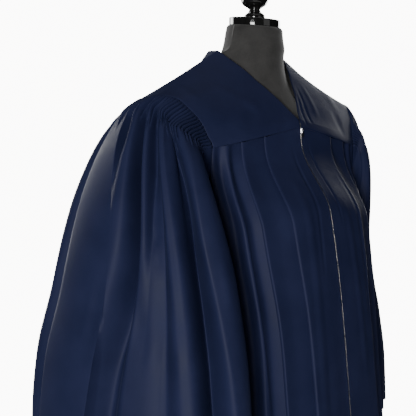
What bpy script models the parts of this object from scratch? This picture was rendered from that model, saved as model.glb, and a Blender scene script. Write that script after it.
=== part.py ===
"""Graduation gown with fluted bell sleeves, standing on a limbless dress form.

Metres, +Z up, front towards -Y, the wearer's right towards -X. The origin is the middle of the
stand's flat underside. Every cloth piece is a thin closed wall on sections worked out from the
tables below, and neighbouring pieces keep a seam gap.
"""
import math

import bmesh
import bpy
import numpy as np

CLOTH = 0.0013
SEAM_GAP = 0.0003
YOKE_SEAM_GAP = 0.0005
HEM_Z = 0.120
SLEEVE_HEM_Z = 0.700
SLEEVE_RING_TOP_Z = 1.050
FRONT_EDGE_X = 0.0015
# Exponent of the body's rounded cross section: 1 is an ellipse, less is squarer.
BODY_SQUARENESS = 0.76

NAVY = (0.012, 0.020, 0.055, 1.0)
FORM_BLACK = (0.020, 0.020, 0.021, 1.0)
GLOSS_BLACK = (0.008, 0.008, 0.008, 1.0)
TAPE_NAVY = (0.010, 0.014, 0.034, 1.0)
STEEL = (0.62, 0.62, 0.64, 1.0)
IRON = (0.05, 0.05, 0.052, 1.0)

# Armhole seam on the right side: q runs from the shoulder forwards, under the arm and back up.
# away_* is the direction in which the sleeve leaves the seam, and gap the space it keeps there.
ARMHOLE = [
    # q,     x,       y,       z,      away_x, away_y, away_z, gap
    (0.000, -0.2535, 0.0060, 1.3570, -0.88, 0.00, -0.47, 0.0009),
    (0.038, -0.2490, -0.0149, 1.3590, -0.87, -0.08, -0.48, 0.0009),
    (0.098, -0.2350, -0.0441, 1.3535, -0.85, -0.25, -0.46, 0.0009),
    (0.155, -0.2206, -0.0653, 1.3342, -0.86, -0.28, -0.42, 0.0009),
    (0.209, -0.2086, -0.0810, 1.3123, -0.88, -0.28, -0.38, 0.0009),
    (0.258, -0.2006, -0.0905, 1.2881, -0.90, -0.25, -0.35, 0.0011),
    (0.300, -0.1948, -0.0972, 1.2670, -0.93, -0.20, -0.30, 0.0020),
    (0.343, -0.1950, -0.0930, 1.2250, -0.97, -0.18, -0.15, 0.0032),
    (0.419, -0.2020, -0.0600, 1.1600, -1.00, -0.05, 0.00, 0.0034),
    (0.500, -0.2080, 0.0080, 1.1250, -1.00, 0.00, 0.00, 0.0034),
    (0.581, -0.2040, 0.0760, 1.1600, -1.00, 0.05, 0.00, 0.0034),
    (0.657, -0.1990, 0.1120, 1.2250, -0.97, 0.18, -0.15, 0.0032),
    (0.700, -0.2000, 0.1180, 1.2750, -0.93, 0.20, -0.30, 0.0022),
    (0.776, -0.2130, 0.1050, 1.3120, -0.88, 0.28, -0.38, 0.0011),
    (0.854, -0.2290, 0.0780, 1.3400, -0.86, 0.25, -0.42, 0.0009),
    (0.932, -0.2440, 0.0420, 1.3550, -0.87, 0.10, -0.47, 0.0009),
    (1.000, -0.2535, 0.0060, 1.3570, -0.88, 0.00, -0.47, 0.0009),
]
FRONT_YOKE_Q = 0.300
UNDERARM_Q = 0.500
BACK_YOKE_Q = 0.700

# Front neck edge from the shoulder point down to the zip top, right side.
NECK_EDGE = [
    # along, x,       y,       z
    (0.00, -0.0870, 0.0075, 1.4500),
    (0.12, -0.0780, -0.0120, 1.4345),
    (0.27, -0.0623, -0.0377, 1.4127),
    (0.42, -0.0487, -0.0567, 1.3921),
    (0.54, -0.0383, -0.0726, 1.3764),
    (0.69, -0.0253, -0.0905, 1.3568),
    (0.85, -0.0110, -0.1075, 1.3347),
    (1.00, -FRONT_EDGE_X, -0.1222, 1.3180),
]
# Seam between the front yoke and the front panel, from the zip to the armhole, right side.
FRONT_SEAM = [
    # along, x,       y,       z
    (0.00, -FRONT_EDGE_X, -0.1264, 1.3047),
    (0.24, -0.0460, -0.1245, 1.2958),
    (0.48, -0.0923, -0.1207, 1.2869),
    (0.73, -0.1417, -0.1124, 1.2772),
    (1.00, -0.1948, -0.0972, 1.2670),
]
# Back neck edge and back yoke seam, from the right side to the centre.
BACK_NECK = [
    # along, x,       y,      z
    (0.00, -0.0870, 0.0078, 1.4500),
    (0.35, -0.0800, 0.0400, 1.4525),
    (0.65, -0.0520, 0.0670, 1.4545),
    (1.00, 0.0000, 0.0770, 1.4550),
]
BACK_SEAM = [
    # along, x,       y,      z
    (0.00, -0.2000, 0.1180, 1.2750),
    (0.30, -0.1450, 0.1330, 1.2690),
    (0.65, -0.0700, 0.1430, 1.2650),
    (1.00, 0.0000, 0.1460, 1.2640),
]

# The body of the gown as it hangs, without its folds.
BODY_RINGS = [
    # z,    half_width, front, back
    (0.120, 0.328, 0.330, 0.318),
    (0.300, 0.296, 0.308, 0.290),
    (0.500, 0.250, 0.287, 0.260),
    (0.680, 0.205, 0.266, 0.232),
    (0.800, 0.199, 0.252, 0.216),
    (0.976, 0.200, 0.231, 0.196),
    (1.088, 0.204, 0.213, 0.181),
    (1.176, 0.204, 0.193, 0.166),
    (1.246, 0.200, 0.164, 0.152),
    (1.285, 0.198, 0.137, 0.146),
    (1.320, 0.198, 0.124, 0.142),
]

# Stations across the right front from the zip to the side seam. The top angle places a station
# on the yoke seam (0 to 1) or on the armhole (1 to 2), the other angles turn round the body.
# Depths are out of the panel, at the seam, at the chest, at the waist and at the hem.
FRONT_RIGHT_FOLDS = [
    # name,        top,  chest, waist, hem,  d_top,  d_chest, d_waist, d_hem
    ("zip_edge", 0.000, 0.0, 0.0, 0.0, 0.0, 0.0, 0.0, 0.0),
    ("tape_edge", 0.060, 1.5, 1.5, 1.5, 0.0, 0.0, 0.0, 0.0),
    ("panel_in", 0.160, 6.0, 6.0, 5.5, 0.0, 0.001, 0.002, 0.004),
    ("panel_mid", 0.340, 13.5, 12.5, 11.5, 0.001, 0.003, 0.004, 0.008),
    ("pleat_one", 0.480, 22.0, 19.2, 18.0, 0.0022, 0.006, 0.008, 0.014),
    ("between", 0.600, 30.0, 27.0, 26.0, 0.000, -0.004, -0.004, -0.006),
    ("pleat_two", 0.730, 40.0, 35.3, 34.0, 0.0022, 0.006, 0.008, 0.014),
    ("gather_in", 0.805, 45.6, 41.0, 41.0, -0.002, -0.008, -0.008, -0.014),
    ("gather_out", 0.870, 50.4, 45.4, 47.2, 0.002, 0.007, 0.007, 0.012),
    ("gather_low", 0.935, 56.0, 51.0, 54.0, -0.002, -0.006, -0.007, -0.012),
    ("arm_front", 1.000, 62.0, 58.5, 62.0, 0.0, 0.002, 0.003, 0.012),
    ("arm_mid", 1.350, 71.0, 68.5, 71.0, 0.0, 0.0, -0.001, -0.012),
    ("arm_low", 1.700, 80.0, 79.0, 81.0, 0.0, 0.0, 0.001, 0.010),
    ("side_seam", 2.000, 90.0, 90.0, 90.0, 0.0, 0.0, 0.0, 0.0),
]
FRONT_LEFT_FOLDS = [
    # name,        top,  chest, waist, hem,  d_top,  d_chest, d_waist, d_hem
    ("zip_edge", 0.000, 0.0, 0.0, 0.0, 0.0, 0.0, 0.0, 0.0),
    ("tape_edge", 0.060, 1.5, 1.5, 1.5, 0.0, 0.0, 0.0, 0.0),
    ("panel_in", 0.160, 5.5, 6.0, 6.0, 0.0, 0.001, 0.001, 0.003),
    ("panel_mid", 0.340, 13.0, 12.5, 12.5, 0.001, 0.002, 0.003, 0.007),
    ("pleat_one", 0.480, 21.0, 20.0, 19.5, 0.0022, 0.005, 0.006, 0.012),
    ("between", 0.600, 29.0, 27.5, 27.0, 0.000, -0.004, -0.004, -0.007),
    ("pleat_two", 0.730, 39.0, 36.5, 36.0, 0.0022, 0.005, 0.006, 0.013),
    ("gather_in", 0.805, 44.0, 41.5, 42.0, -0.002, -0.006, -0.007, -0.012),
    ("gather_out", 0.870, 49.5, 46.5, 48.5, 0.002, 0.005, 0.006, 0.014),
    ("gather_low", 0.935, 55.5, 52.5, 56.0, -0.002, -0.005, -0.006, -0.011),
    ("arm_front", 1.000, 62.0, 60.0, 64.0, 0.0, 0.001, 0.002, 0.010),
    ("arm_mid", 1.350, 71.0, 70.0, 72.0, 0.0, 0.0, -0.001, -0.010),
    ("arm_low", 1.700, 80.0, 80.0, 81.0, 0.0, 0.0, 0.001, 0.012),
    ("side_seam", 2.000, 90.0, 90.0, 90.0, 0.0, 0.0, 0.0, 0.0),
]
FOLD_CHEST_Z = 1.180
FOLD_WAIST_Z = 0.900
FOLD_TOP_Z = 1.320
DEPTH_START = 0.0001
# Steps to a neighbouring place on the panel, from which the panel's direction is found.
AHEAD_TOP = 0.01
AHEAD_ANGLE = 1.0
# How far a knife pleat's cloth turns back under its folded edge.
PLEAT_TURN = 0.004
PLEAT_LAYERS = [
    # turns, underlays, part of the sink
    (-1.0, 0.0, 0.00),
    (0.0, 0.0, 0.25),
    (-1.0, 0.0, 0.50),
    (0.0, 1.0, 0.75),
    (1.0, 1.0, 1.00),
]
PLEAT_UNDERLAY = [
    # z,    underlay, sink
    (0.120, 0.026, 0.030),
    (0.600, 0.022, 0.022),
    (0.900, 0.016, 0.016),
    (1.180, 0.013, 0.009),
    (1.300, 0.012, 0.0044),
]

# Folds of the back below its fluted seam, from the right side seam to the centre.
BACK_FOLDS = [
    # angle at the waist from the side seam, hem angle, d_chest, d_waist, d_hem
    (0.0, 0.0, 0.000, 0.000, 0.000),
    (9.0, 8.0, 0.000, -0.002, -0.012),
    (18.0, 16.0, 0.002, 0.003, 0.014),
    (27.0, 25.0, -0.003, -0.007, -0.015),
    (36.0, 34.0, 0.004, 0.009, 0.017),
    (45.0, 43.0, -0.005, -0.010, -0.016),
    (53.0, 52.0, 0.005, 0.011, 0.018),
    (62.0, 61.0, -0.006, -0.012, -0.018),
    (71.0, 70.0, 0.006, 0.011, 0.016),
    (80.0, 80.0, -0.005, -0.010, -0.016),
    (90.0, 90.0, 0.006, 0.011, 0.017),
]
BACK_FLUTES = 40
BACK_FLUTED_HALF = 0.130
BACK_BAND = 0.045
# Places across the back, from side seam (0) to centre (1), where the fluted band deepens.
BAND_FROM = 0.55
BAND_FULL = 0.70

# The right sleeve's cross sections where it hangs free: turned ellipses.
SLEEVE_RIGHT_RINGS = [
    # z,    centre_x, centre_y, across, along, turn
    (0.700, -0.321, -0.037, 0.090, 0.206, 20.0),
    (0.800, -0.320, -0.037, 0.087, 0.204, 20.0),
    (0.900, -0.314, -0.034, 0.081, 0.197, 20.0),
    (1.020, -0.301, -0.032, 0.073, 0.174, 20.0),
    (1.145, -0.295, -0.032, 0.067, 0.148, 20.0),
]
# The left sleeve hangs further back and closer in; its sections are given on the right side.
SLEEVE_LEFT_RINGS = [
    # z,    centre_x, centre_y, across, along, turn
    (0.700, -0.322, 0.050, 0.077, 0.188, 24.0),
    (0.800, -0.320, 0.050, 0.075, 0.184, 24.0),
    (0.900, -0.312, 0.051, 0.070, 0.175, 24.0),
    (1.020, -0.297, 0.050, 0.065, 0.155, 24.0),
    (1.145, -0.283, 0.040, 0.060, 0.130, 22.0),
]
# Ridges and valleys of the right sleeve, seen in the photograph from q 0.90 round to 0.33.
# Angles turn from the outer side (0) through the front (90) and the inside (180).
# Depths are at the head, half way down and at the hem.
SLEEVE_RIGHT_FOLDS = [
    # q,    waist_angle, hem_angle, top, waist, hem
    (0.020, 6.0, -4.0, -0.008, -0.022, -0.024),
    (0.055, 14.0, 7.0, 0.009, -0.003, -0.005),
    (0.082, 23.0, 18.0, -0.010, -0.001, -0.001),
    (0.098, 28.0, 25.5, -0.008, -0.006, -0.008),
    (0.104, 29.5, 27.0, 0.004, 0.009, 0.010),
    (0.130, 41.0, 44.5, 0.008, 0.014, 0.015),
    (0.175, 54.5, 63.0, -0.010, -0.024, -0.026),
    (0.240, 76.0, 84.0, 0.010, 0.016, 0.018),
    (0.290, 104.0, 108.0, 0.002, 0.006, 0.008),
    (0.330, 128.0, 132.0, 0.000, -0.006, -0.008),
    (0.420, 155.0, 158.0, 0.000, -0.003, -0.003),
    (0.500, 180.0, 180.0, 0.000, 0.000, -0.005),
    (0.600, 208.0, 208.0, 0.000, 0.002, 0.003),
    (0.665, 226.0, 224.0, 0.000, -0.006, -0.008),
    (0.710, 241.0, 237.0, 0.007, 0.012, 0.014),
    (0.750, 252.0, 247.0, -0.008, -0.015, -0.018),
    (0.790, 263.0, 257.0, 0.008, 0.013, 0.016),
    (0.830, 275.0, 269.0, -0.008, -0.014, -0.017),
    (0.865, 289.0, 283.0, 0.007, 0.011, 0.013),
    (0.895, 301.0, 295.0, -0.006, -0.010, -0.011),
    (0.922, 312.0, 306.0, 0.006, 0.009, 0.010),
    (0.945, 323.0, 317.0, -0.005, -0.009, -0.009),
    (0.968, 337.0, 330.0, 0.004, 0.004, 0.005),
    (0.990, 350.0, 341.0, 0.009, 0.016, 0.018),
]
SLEEVE_LEFT_FOLDS = [
    # q,    waist_angle, hem_angle, top, waist, hem
    (0.025, 8.0, 0.0, -0.008, -0.018, -0.021),
    (0.060, 19.0, 14.0, 0.008, 0.012, 0.010),
    (0.092, 30.0, 28.0, -0.009, -0.013, -0.012),
    (0.128, 42.0, 43.0, 0.006, 0.008, 0.012),
    (0.170, 56.0, 61.0, -0.009, -0.020, -0.022),
    (0.225, 74.0, 80.0, 0.008, 0.012, 0.015),
    (0.280, 98.0, 102.0, 0.002, -0.006, -0.008),
    (0.330, 126.0, 130.0, 0.000, 0.002, 0.004),
    (0.420, 155.0, 158.0, 0.000, -0.003, -0.003),
    (0.500, 180.0, 180.0, 0.000, 0.000, -0.005),
    (0.600, 207.0, 206.0, 0.000, 0.002, 0.003),
    (0.668, 227.0, 225.0, 0.000, -0.007, -0.009),
    (0.715, 243.0, 239.0, 0.007, 0.013, 0.016),
    (0.758, 255.0, 251.0, -0.008, -0.016, -0.019),
    (0.800, 267.0, 262.0, 0.008, 0.012, 0.015),
    (0.842, 280.0, 275.0, -0.008, -0.013, -0.016),
    (0.880, 295.0, 290.0, 0.007, 0.012, 0.014),
    (0.915, 309.0, 304.0, -0.006, -0.012, -0.014),
    (0.950, 326.0, 321.0, 0.007, 0.011, 0.013),
    (0.985, 347.0, 341.0, 0.008, 0.013, 0.016),
]
SLEEVE_ARC_FLUTES = 26
FLUTE_POINTS = 3
UNDERARM_COLUMNS = 12
FLUTE_HEIGHT = 0.0022
# Where the fluted band ends, measured from the armhole seam.
BAND_REACH = [
    # q,    x,       y,      z
    (0.000, -0.0340, 0.000, -0.0230),
    (0.040, -0.0280, 0.000, -0.0200),
    (0.080, -0.0300, 0.000, -0.0210),
    (0.120, -0.0366, -0.002, -0.0235),
    (0.155, -0.0480, -0.005, -0.0245),
    (0.190, -0.0510, -0.008, -0.0222),
    (0.225, -0.0430, -0.008, -0.0185),
    (0.258, -0.0300, -0.005, -0.0090),
    (0.300, -0.0220, -0.001, -0.0040),
    (0.343, -0.0060, -0.001, -0.0080),
    (0.657, -0.0060, 0.001, -0.0080),
    (0.700, -0.0130, 0.003, -0.0090),
    (0.776, -0.0380, 0.010, -0.0190),
    (0.854, -0.0360, 0.006, -0.0250),
    (0.930, -0.0340, 0.002, -0.0240),
    (1.000, -0.0340, 0.000, -0.0230),
]
# How strongly a sleeve column leaves the band, outwards and down.
SLEEVE_FALL = [
    # q,    x,     y,     z
    (0.000, -0.165, -0.010, -0.160),
    (0.080, -0.110, -0.060, -0.200),
    (0.155, -0.080, -0.140, -0.220),
    (0.209, -0.060, -0.170, -0.200),
    (0.258, -0.090, -0.150, -0.180),
    (0.300, -0.110, -0.080, -0.220),
    (0.419, -0.030, -0.020, -0.200),
    (0.500, -0.020, 0.000, -0.100),
    (0.581, -0.030, 0.020, -0.200),
    (0.700, -0.100, 0.060, -0.240),
    (0.776, -0.140, 0.120, -0.200),
    (0.902, -0.150, 0.040, -0.165),
    (1.000, -0.165, -0.010, -0.160),
]
# How far down its length each row of a sleeve column lies, below the fluted band.
SLEEVE_ROWS = (0.035, 0.10, 0.20, 0.32, 0.46, 0.64, 0.82, 1.0)
PANEL_ROWS = (0.0, 0.022, 0.065, 0.13, 0.22, 0.34, 0.48, 0.65, 0.82, 1.0)

# Sections of the limbless form: shoulders as a flat lens, the neck as a circle.
FORM_SECTIONS = [
    # z,     half_width, front, back, neck, centre_y
    (0.800, 0.158, 0.098, 0.112, 0.000, 0.010),
    (0.830, 0.166, 0.104, 0.122, 0.000, 0.010),
    (0.900, 0.168, 0.104, 0.126, 0.000, 0.008),
    (0.980, 0.148, 0.096, 0.108, 0.000, 0.004),
    (1.060, 0.122, 0.090, 0.094, 0.000, 0.000),
    (1.140, 0.140, 0.100, 0.100, 0.020, 0.002),
    (1.210, 0.162, 0.112, 0.106, 0.060, 0.004),
    (1.270, 0.178, 0.106, 0.106, 0.086, 0.006),
    (1.3175, 0.187, 0.085, 0.094, 0.095, 0.007),
    (1.3500, 0.1915, 0.058, 0.078, 0.086, 0.007),
    (1.3764, 0.1866, 0.038, 0.060, 0.077, 0.007),
    (1.3960, 0.1795, 0.026, 0.046, 0.072, 0.007),
    (1.4127, 0.1518, 0.018, 0.036, 0.068, 0.007),
    (1.4300, 0.1172, 0.010, 0.022, 0.066, 0.007),
    (1.4440, 0.0850, 0.005, 0.011, 0.0645, 0.006),
    (1.4560, 0.0640, 0.004, 0.004, 0.0625, 0.000),
    (1.4720, 0.0595, 0.003, 0.003, 0.0590, -0.001),
    (1.4880, 0.0570, 0.003, 0.003, 0.0565, -0.002),
    (1.4975, 0.0555, 0.003, 0.003, 0.0550, -0.003),
    (1.5015, 0.0525, 0.003, 0.003, 0.0520, -0.003),
]
FORM_SEGMENTS = 32
FORM_FINE_FROM_Z = 1.400
# Exponents of the form's plan: how its width gathers towards the shoulders, how neck meets lens.
FORM_GATHER = 3
FORM_BLEND = 3
FORM_NECK_LEAST = 0.35
NECK_Y = -0.003
# The neck top, cap and finial foot lean forwards.
NECK_TILT = math.tan(math.radians(6.0))
TILT_FROM_Z = 1.458
TILT_FULL_Z = 1.4978

CAP_BOTTOM_Z = 1.5018
CAP_RADIUS = 0.0500
CAP_HEIGHT = 0.0150
CAP_ROUND = 0.0010
CAP_PROFILE = [
    # radius, height above the neck
    (CAP_RADIUS - CAP_ROUND, 0.0),
    (CAP_RADIUS, CAP_ROUND),
    (CAP_RADIUS, CAP_HEIGHT - CAP_ROUND),
    (CAP_RADIUS - CAP_ROUND, CAP_HEIGHT),
]
TURNED_SEGMENTS = 24
FINIAL_PROFILE = [
    # radius, height above the cap
    (0.0200, 0.0003),
    (0.0205, 0.0040),
    (0.0180, 0.0085),
    (0.0125, 0.0130),
    (0.0110, 0.0175),
    (0.0145, 0.0215),
    (0.0225, 0.0270),
    (0.0270, 0.0360),
    (0.0275, 0.0440),
    (0.0240, 0.0540),
    (0.0150, 0.0620),
    (0.0050, 0.0655),
]

POLE_RADIUS = 0.0160
FOOT_PROFILE = [
    # radius, height
    (0.190, 0.000),
    (0.190, 0.010),
    (0.182, 0.016),
    (0.120, 0.024),
    (0.040, 0.034),
    (0.030, 0.060),
]
FORM_BOTTOM_Z = 0.800
POLE_PROFILE = [
    # radius, height
    (POLE_RADIUS, 0.060 + SEAM_GAP),
    (POLE_RADIUS, FORM_BOTTOM_Z - SEAM_GAP),
]

ZIP_TOP_Z = 1.3150
TAPE_WIDTH = 0.0115
TAPE_COVER = 0.0130
TAPE_THICK = 0.0008
TAPE_INNER_X = 0.0006
TAPE_GAP = 0.0005
# How far the tape turns away from the cloth at the neck point, and where its last row lies.
TAPE_TURNED_BACK = 0.0045
TAPE_LAST = 0.90
SLIDER_TOP_Z = 1.3015
SLIDER_THICK = 0.0016
LUG_OUTER = 0.0021
LUG_INNER = 0.0012
SLIDER_SECTIONS = [
    # down,  half_width, lug height
    (0.0000, 0.0028, 0.0026),
    (0.0010, 0.0035, 0.0038),
    (0.0042, 0.0037, 0.0038),
    (0.0060, 0.0036, 0.0018),
    (0.0110, 0.0028, 0.0018),
]
TAB_PIVOT_DOWN = 0.0026
TAB_PIVOT_OUT = 0.0030
TAB_THICK = 0.0010
TAB_SECTIONS = [
    # down from the pivot, half_width
    (-0.0007, 0.0006),
    (-0.0003, 0.0009),
    (0.0048, 0.0009),
    (0.0062, 0.0022),
    (0.0122, 0.0025),
    (0.0136, 0.0018),
]


def slopes_of(keys, values):
    """Slopes that carry a smooth curve through the rows without overshooting them."""
    steps = np.diff(keys)[:, None]
    secants = np.diff(values, axis=0) / steps
    slopes = np.zeros_like(values)
    slopes[0] = secants[0]
    slopes[-1] = secants[-1]
    for row in range(1, len(keys) - 1):
        before = secants[row - 1]
        after = secants[row]
        same = before * after > 0
        total = np.where(same, before + after, 1.0)
        slopes[row] = np.where(same, 2.0 * before * after / total, 0.0)
    return slopes


class Smooth:
    """A smooth curve through a table whose first column is the key."""

    def __init__(self, rows):
        data = np.array([[float(v) for v in row] for row in rows])
        self.keys = data[:, 0]
        self.values = data[:, 1:]
        self.slopes = slopes_of(self.keys, self.values)

    def __call__(self, at):
        at = min(max(at, self.keys[0]), self.keys[-1])
        row = int(np.searchsorted(self.keys, at, side="right")) - 1
        row = min(row, len(self.keys) - 2)
        step = self.keys[row + 1] - self.keys[row]
        t = (at - self.keys[row]) / step
        h00 = 2 * t ** 3 - 3 * t ** 2 + 1
        h10 = t ** 3 - 2 * t ** 2 + t
        h01 = -2 * t ** 3 + 3 * t ** 2
        h11 = t ** 3 - t ** 2
        start = h00 * self.values[row] + h10 * step * self.slopes[row]
        return start + h01 * self.values[row + 1] + h11 * step * self.slopes[row + 1]


def ease(t):
    t = min(max(t, 0.0), 1.0)
    return t * t * (3 - 2 * t)


def unit(vector):
    return vector / max(np.linalg.norm(vector), 1e-12)


def material(name, colour, roughness, metallic=0.0):
    made = bpy.data.materials.new(name)
    made.use_nodes = True
    shader = made.node_tree.nodes["Principled BSDF"]
    shader.inputs["Base Color"].default_value = colour
    shader.inputs["Roughness"].default_value = roughness
    shader.inputs["Metallic"].default_value = metallic
    return made


def add_object(name, points, faces, look, smooth=True):
    mesh = bpy.data.meshes.new(name)
    body = bmesh.new()
    verts = [body.verts.new(tuple(float(c) for c in p)) for p in points]
    for face in faces:
        body.faces.new([verts[i] for i in face])
    bmesh.ops.recalc_face_normals(body, faces=body.faces)
    bmesh.ops.triangulate(body, faces=body.faces)
    body.to_mesh(mesh)
    body.free()
    if smooth:
        mesh.shade_smooth()
        mesh.set_sharp_from_angle(angle=math.radians(40))
    made = bpy.data.objects.new(name, mesh)
    bpy.context.scene.collection.objects.link(made)
    made.data.materials.append(look)
    return made


class Wall:
    """Collects rings of points and joins neighbouring rings with faces."""

    def __init__(self):
        self.points = []
        self.faces = []

    def ring(self, points):
        start = len(self.points)
        self.points.extend(points)
        return list(range(start, start + len(points)))

    def join(self, fine, coarse, closed):
        """Joins two rings, the first with a whole number of times the points of the second."""
        if closed:
            fine = fine + fine[:1]
            coarse = coarse + coarse[:1]
        times = (len(fine) - 1) // (len(coarse) - 1)
        for j in range(len(coarse) - 1):
            first = fine[j * times:(j + 1) * times + 1]
            if times == 1:
                self.faces.append((first[0], first[1], coarse[j + 1], coarse[j]))
                continue
            half = (times + 1) // 2
            for i in range(half):
                self.faces.append((first[i], first[i + 1], coarse[j]))
            self.faces.append((first[half], coarse[j + 1], coarse[j]))
            for i in range(half, times):
                self.faces.append((first[i], first[i + 1], coarse[j + 1]))


def shell_of(outer, inner, closed):
    """A closed wall from outer and inner rings, listed from the top row to the bottom row."""
    wall = Wall()
    outer_rings = [wall.ring(row) for row in outer]
    inner_rings = [wall.ring(row) for row in inner]
    for rings in (outer_rings, inner_rings):
        for upper, lower in zip(rings, rings[1:]):
            wall.join(upper, lower, closed)
    wall.join(outer_rings[0], inner_rings[0], closed)
    wall.join(outer_rings[-1], inner_rings[-1], closed)
    if not closed:
        for end in (0, -1):
            for k in range(len(outer_rings) - 1):
                wall.faces.append((outer_rings[k][end], outer_rings[k + 1][end],
                                   inner_rings[k + 1][end], inner_rings[k][end]))
    return wall


def mirrored(points, side):
    """Points modelled on the right side, or their mirror image for the left side."""
    return [np.array((p[0] * -side, p[1], p[2])) for p in points]


def grid_normals(grid, closed):
    """Outward normals of a grid of points, rows going down and columns going round."""
    rows, columns = grid.shape[:2]
    if closed:
        across = np.roll(grid, -1, axis=1) - np.roll(grid, 1, axis=1)
    else:
        across = np.gradient(grid, axis=1)
    down = np.gradient(grid, axis=0)
    normals = np.cross(across, down)
    for r in range(rows):
        for c in range(columns):
            normals[r, c] = unit(normals[r, c])
    return normals


armhole = Smooth(ARMHOLE)
neck_edge = Smooth(NECK_EDGE)
front_seam = Smooth(FRONT_SEAM)
back_neck = Smooth(BACK_NECK)
back_seam = Smooth(BACK_SEAM)
body_rings = Smooth(BODY_RINGS)
band_reach = Smooth(BAND_REACH)
underlay_at = Smooth(PLEAT_UNDERLAY)
form_sections = Smooth(FORM_SECTIONS)
sleeve_fall = Smooth(SLEEVE_FALL)


def armhole_point(q):
    return armhole(q % 1.0)[:3]


def armhole_away(q):
    return unit(armhole(q % 1.0)[3:6])


def armhole_normal(q):
    """Outward normal of the cloth on both sides of the armhole seam."""
    along = unit(armhole_point(q + 0.004) - armhole_point(q - 0.004))
    return unit(np.cross(armhole_away(q), along))


def coons(top, bottom, left, right, u, v):
    """A point on the smooth patch inside four edges; u goes down and v across."""
    sides = (1 - v) * left(u) + v * right(u)
    ends = (1 - u) * top(v) + u * bottom(v)
    corners = (1 - u) * ((1 - v) * top(0) + v * top(1)) + u * ((1 - v) * bottom(0) + v * bottom(1))
    return sides + ends - corners


# Share of the yoke's inner edge that is the neck edge; the rest runs down beside the zip.
NECK_SHARE = 0.88
YOKE_FRONT_ROWS = (0.0, 0.08, 0.18, 0.30, 0.42, 0.54, 0.66, 0.78, 0.88, 1.0)
YOKE_FRONT_COLUMNS = 11
SHOULDER_DROOP = 0.0004


def shoulder_line(v):
    """The shoulder seam from the neck to the armhole."""
    start = neck_edge(0)
    end = armhole_point(0)
    return start + (end - start) * v + np.array((0, 0, 4 * SHOULDER_DROOP * v * (1 - v)))


def yoke_inner_edge(u):
    if u <= NECK_SHARE:
        return neck_edge(u / NECK_SHARE)
    return neck_edge(1) + (front_seam(0) - neck_edge(1)) * (u - NECK_SHARE) / (1 - NECK_SHARE)


def front_yoke_point(u, v):
    return coons(shoulder_line, front_seam, yoke_inner_edge,
                 lambda w: armhole_point(FRONT_YOKE_Q * w), u, v)


def make_front_yoke(name, side, look):
    columns = [c / (YOKE_FRONT_COLUMNS - 1) for c in range(YOKE_FRONT_COLUMNS)]
    grid = np.array([[front_yoke_point(u, v) for v in columns] for u in YOKE_FRONT_ROWS])
    normals = grid_normals(grid, closed=False)
    for r, u in enumerate(YOKE_FRONT_ROWS):
        normals[r, -1] = armhole_normal(FRONT_YOKE_Q * u)
        if u >= NECK_SHARE:
            normals[r, 0] = unit(normals[r, 0] * np.array((0, 1, 1)))
    normals[0] = [unit(n * np.array((1, 0, 1))) for n in normals[0]]
    normals[-1] = [unit(n * np.array((1, 1, 0))) for n in normals[-1]]
    outer = [mirrored(row, side) for row in grid + normals * CLOTH / 2]
    inner = [mirrored(row, side) for row in grid - normals * CLOTH / 2]
    wall = shell_of(outer, inner, closed=False)
    return add_object(name, wall.points, wall.faces, look)


YOKE_BACK_ROWS = (0.0, 0.10, 0.24, 0.40, 0.58, 0.78, 1.0)
RIDGE_SHARE = 0.30
YOKE_BACK_HALF = (0.0, 0.08, 0.16, 0.24, 0.30, 0.36, 0.43, 0.50, 0.58, 0.67, 0.76, 0.88, 1.0)


# How far the back yoke bows out half way down its centre line.
BACK_BOW = (0.0, 0.018, 0.012)


def back_yoke_top(v):
    """From the right armhole along the shoulder and round the neck to the centre back."""
    if v <= RIDGE_SHARE:
        return shoulder_line(1 - v / RIDGE_SHARE) + np.array((0, SEAM_GAP, 0))
    return back_neck((v - RIDGE_SHARE) / (1 - RIDGE_SHARE))


def back_yoke_point(u, v):
    def centre(w):
        start = back_neck(1)
        end = back_seam(1)
        bow = np.array(BACK_BOW) * math.sin(math.pi * w)
        return start + (end - start) * w + bow
    return coons(back_yoke_top, back_seam, lambda w: armhole_point(1 - (1 - BACK_YOKE_Q) * w)
                 + np.array((0, SEAM_GAP * (1 - w), 0)), centre, u, v)


def make_back_yoke(name, look):
    half = [[back_yoke_point(u, v) for v in YOKE_BACK_HALF] for u in YOKE_BACK_ROWS]
    rows = [row + mirrored(row[-2::-1], 1) for row in half]
    grid = np.array(rows)
    normals = grid_normals(grid, closed=False)
    if normals[len(rows) // 2, len(YOKE_BACK_HALF)][1] < 0:
        normals = -normals
    for r, u in enumerate(YOKE_BACK_ROWS):
        edge = armhole_normal(1 - (1 - BACK_YOKE_Q) * u)
        normals[r, 0] = edge
        normals[r, -1] = edge * np.array((-1, 1, 1))
    ridge = sum(1 for v in YOKE_BACK_HALF if v <= RIDGE_SHARE)
    for c in list(range(ridge)) + list(range(grid.shape[1] - ridge, grid.shape[1])):
        normals[0, c] = unit(normals[0, c] * np.array((1, 0, 1)))
    normals[-1] = [unit(n * np.array((1, 1, 0))) for n in normals[-1]]
    wall = shell_of(list(grid + normals * CLOTH / 2), list(grid - normals * CLOTH / 2),
                    closed=False)
    return add_object(name, wall.points, wall.faces, look)


def body_point(angle, z, front=True):
    """A point of the hanging body; the angle turns from the centre (0) to the side seam (90)."""
    half_width, front_depth, back_depth = body_rings(z)
    turn = math.radians(angle)
    reach = max(math.cos(turn), 0.0) ** BODY_SQUARENESS
    y = -front_depth * reach if front else back_depth * reach + SEAM_GAP
    return np.array((-half_width * math.sin(turn) ** BODY_SQUARENESS, y, z))


# Depth below the seam over which a panel leaves the seam's line for the hanging body.
PANEL_RELEASE = 0.150


def panel_top(top):
    """A panel's upper edge: the yoke seam from 0 to 1 and the armhole from 1 to 2."""
    if top <= 1:
        return front_seam(top) - np.array((0, 0, YOKE_SEAM_GAP))
    return armhole_point(FRONT_YOKE_Q + (UNDERARM_Q - FRONT_YOKE_Q) * (top - 1))


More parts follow.
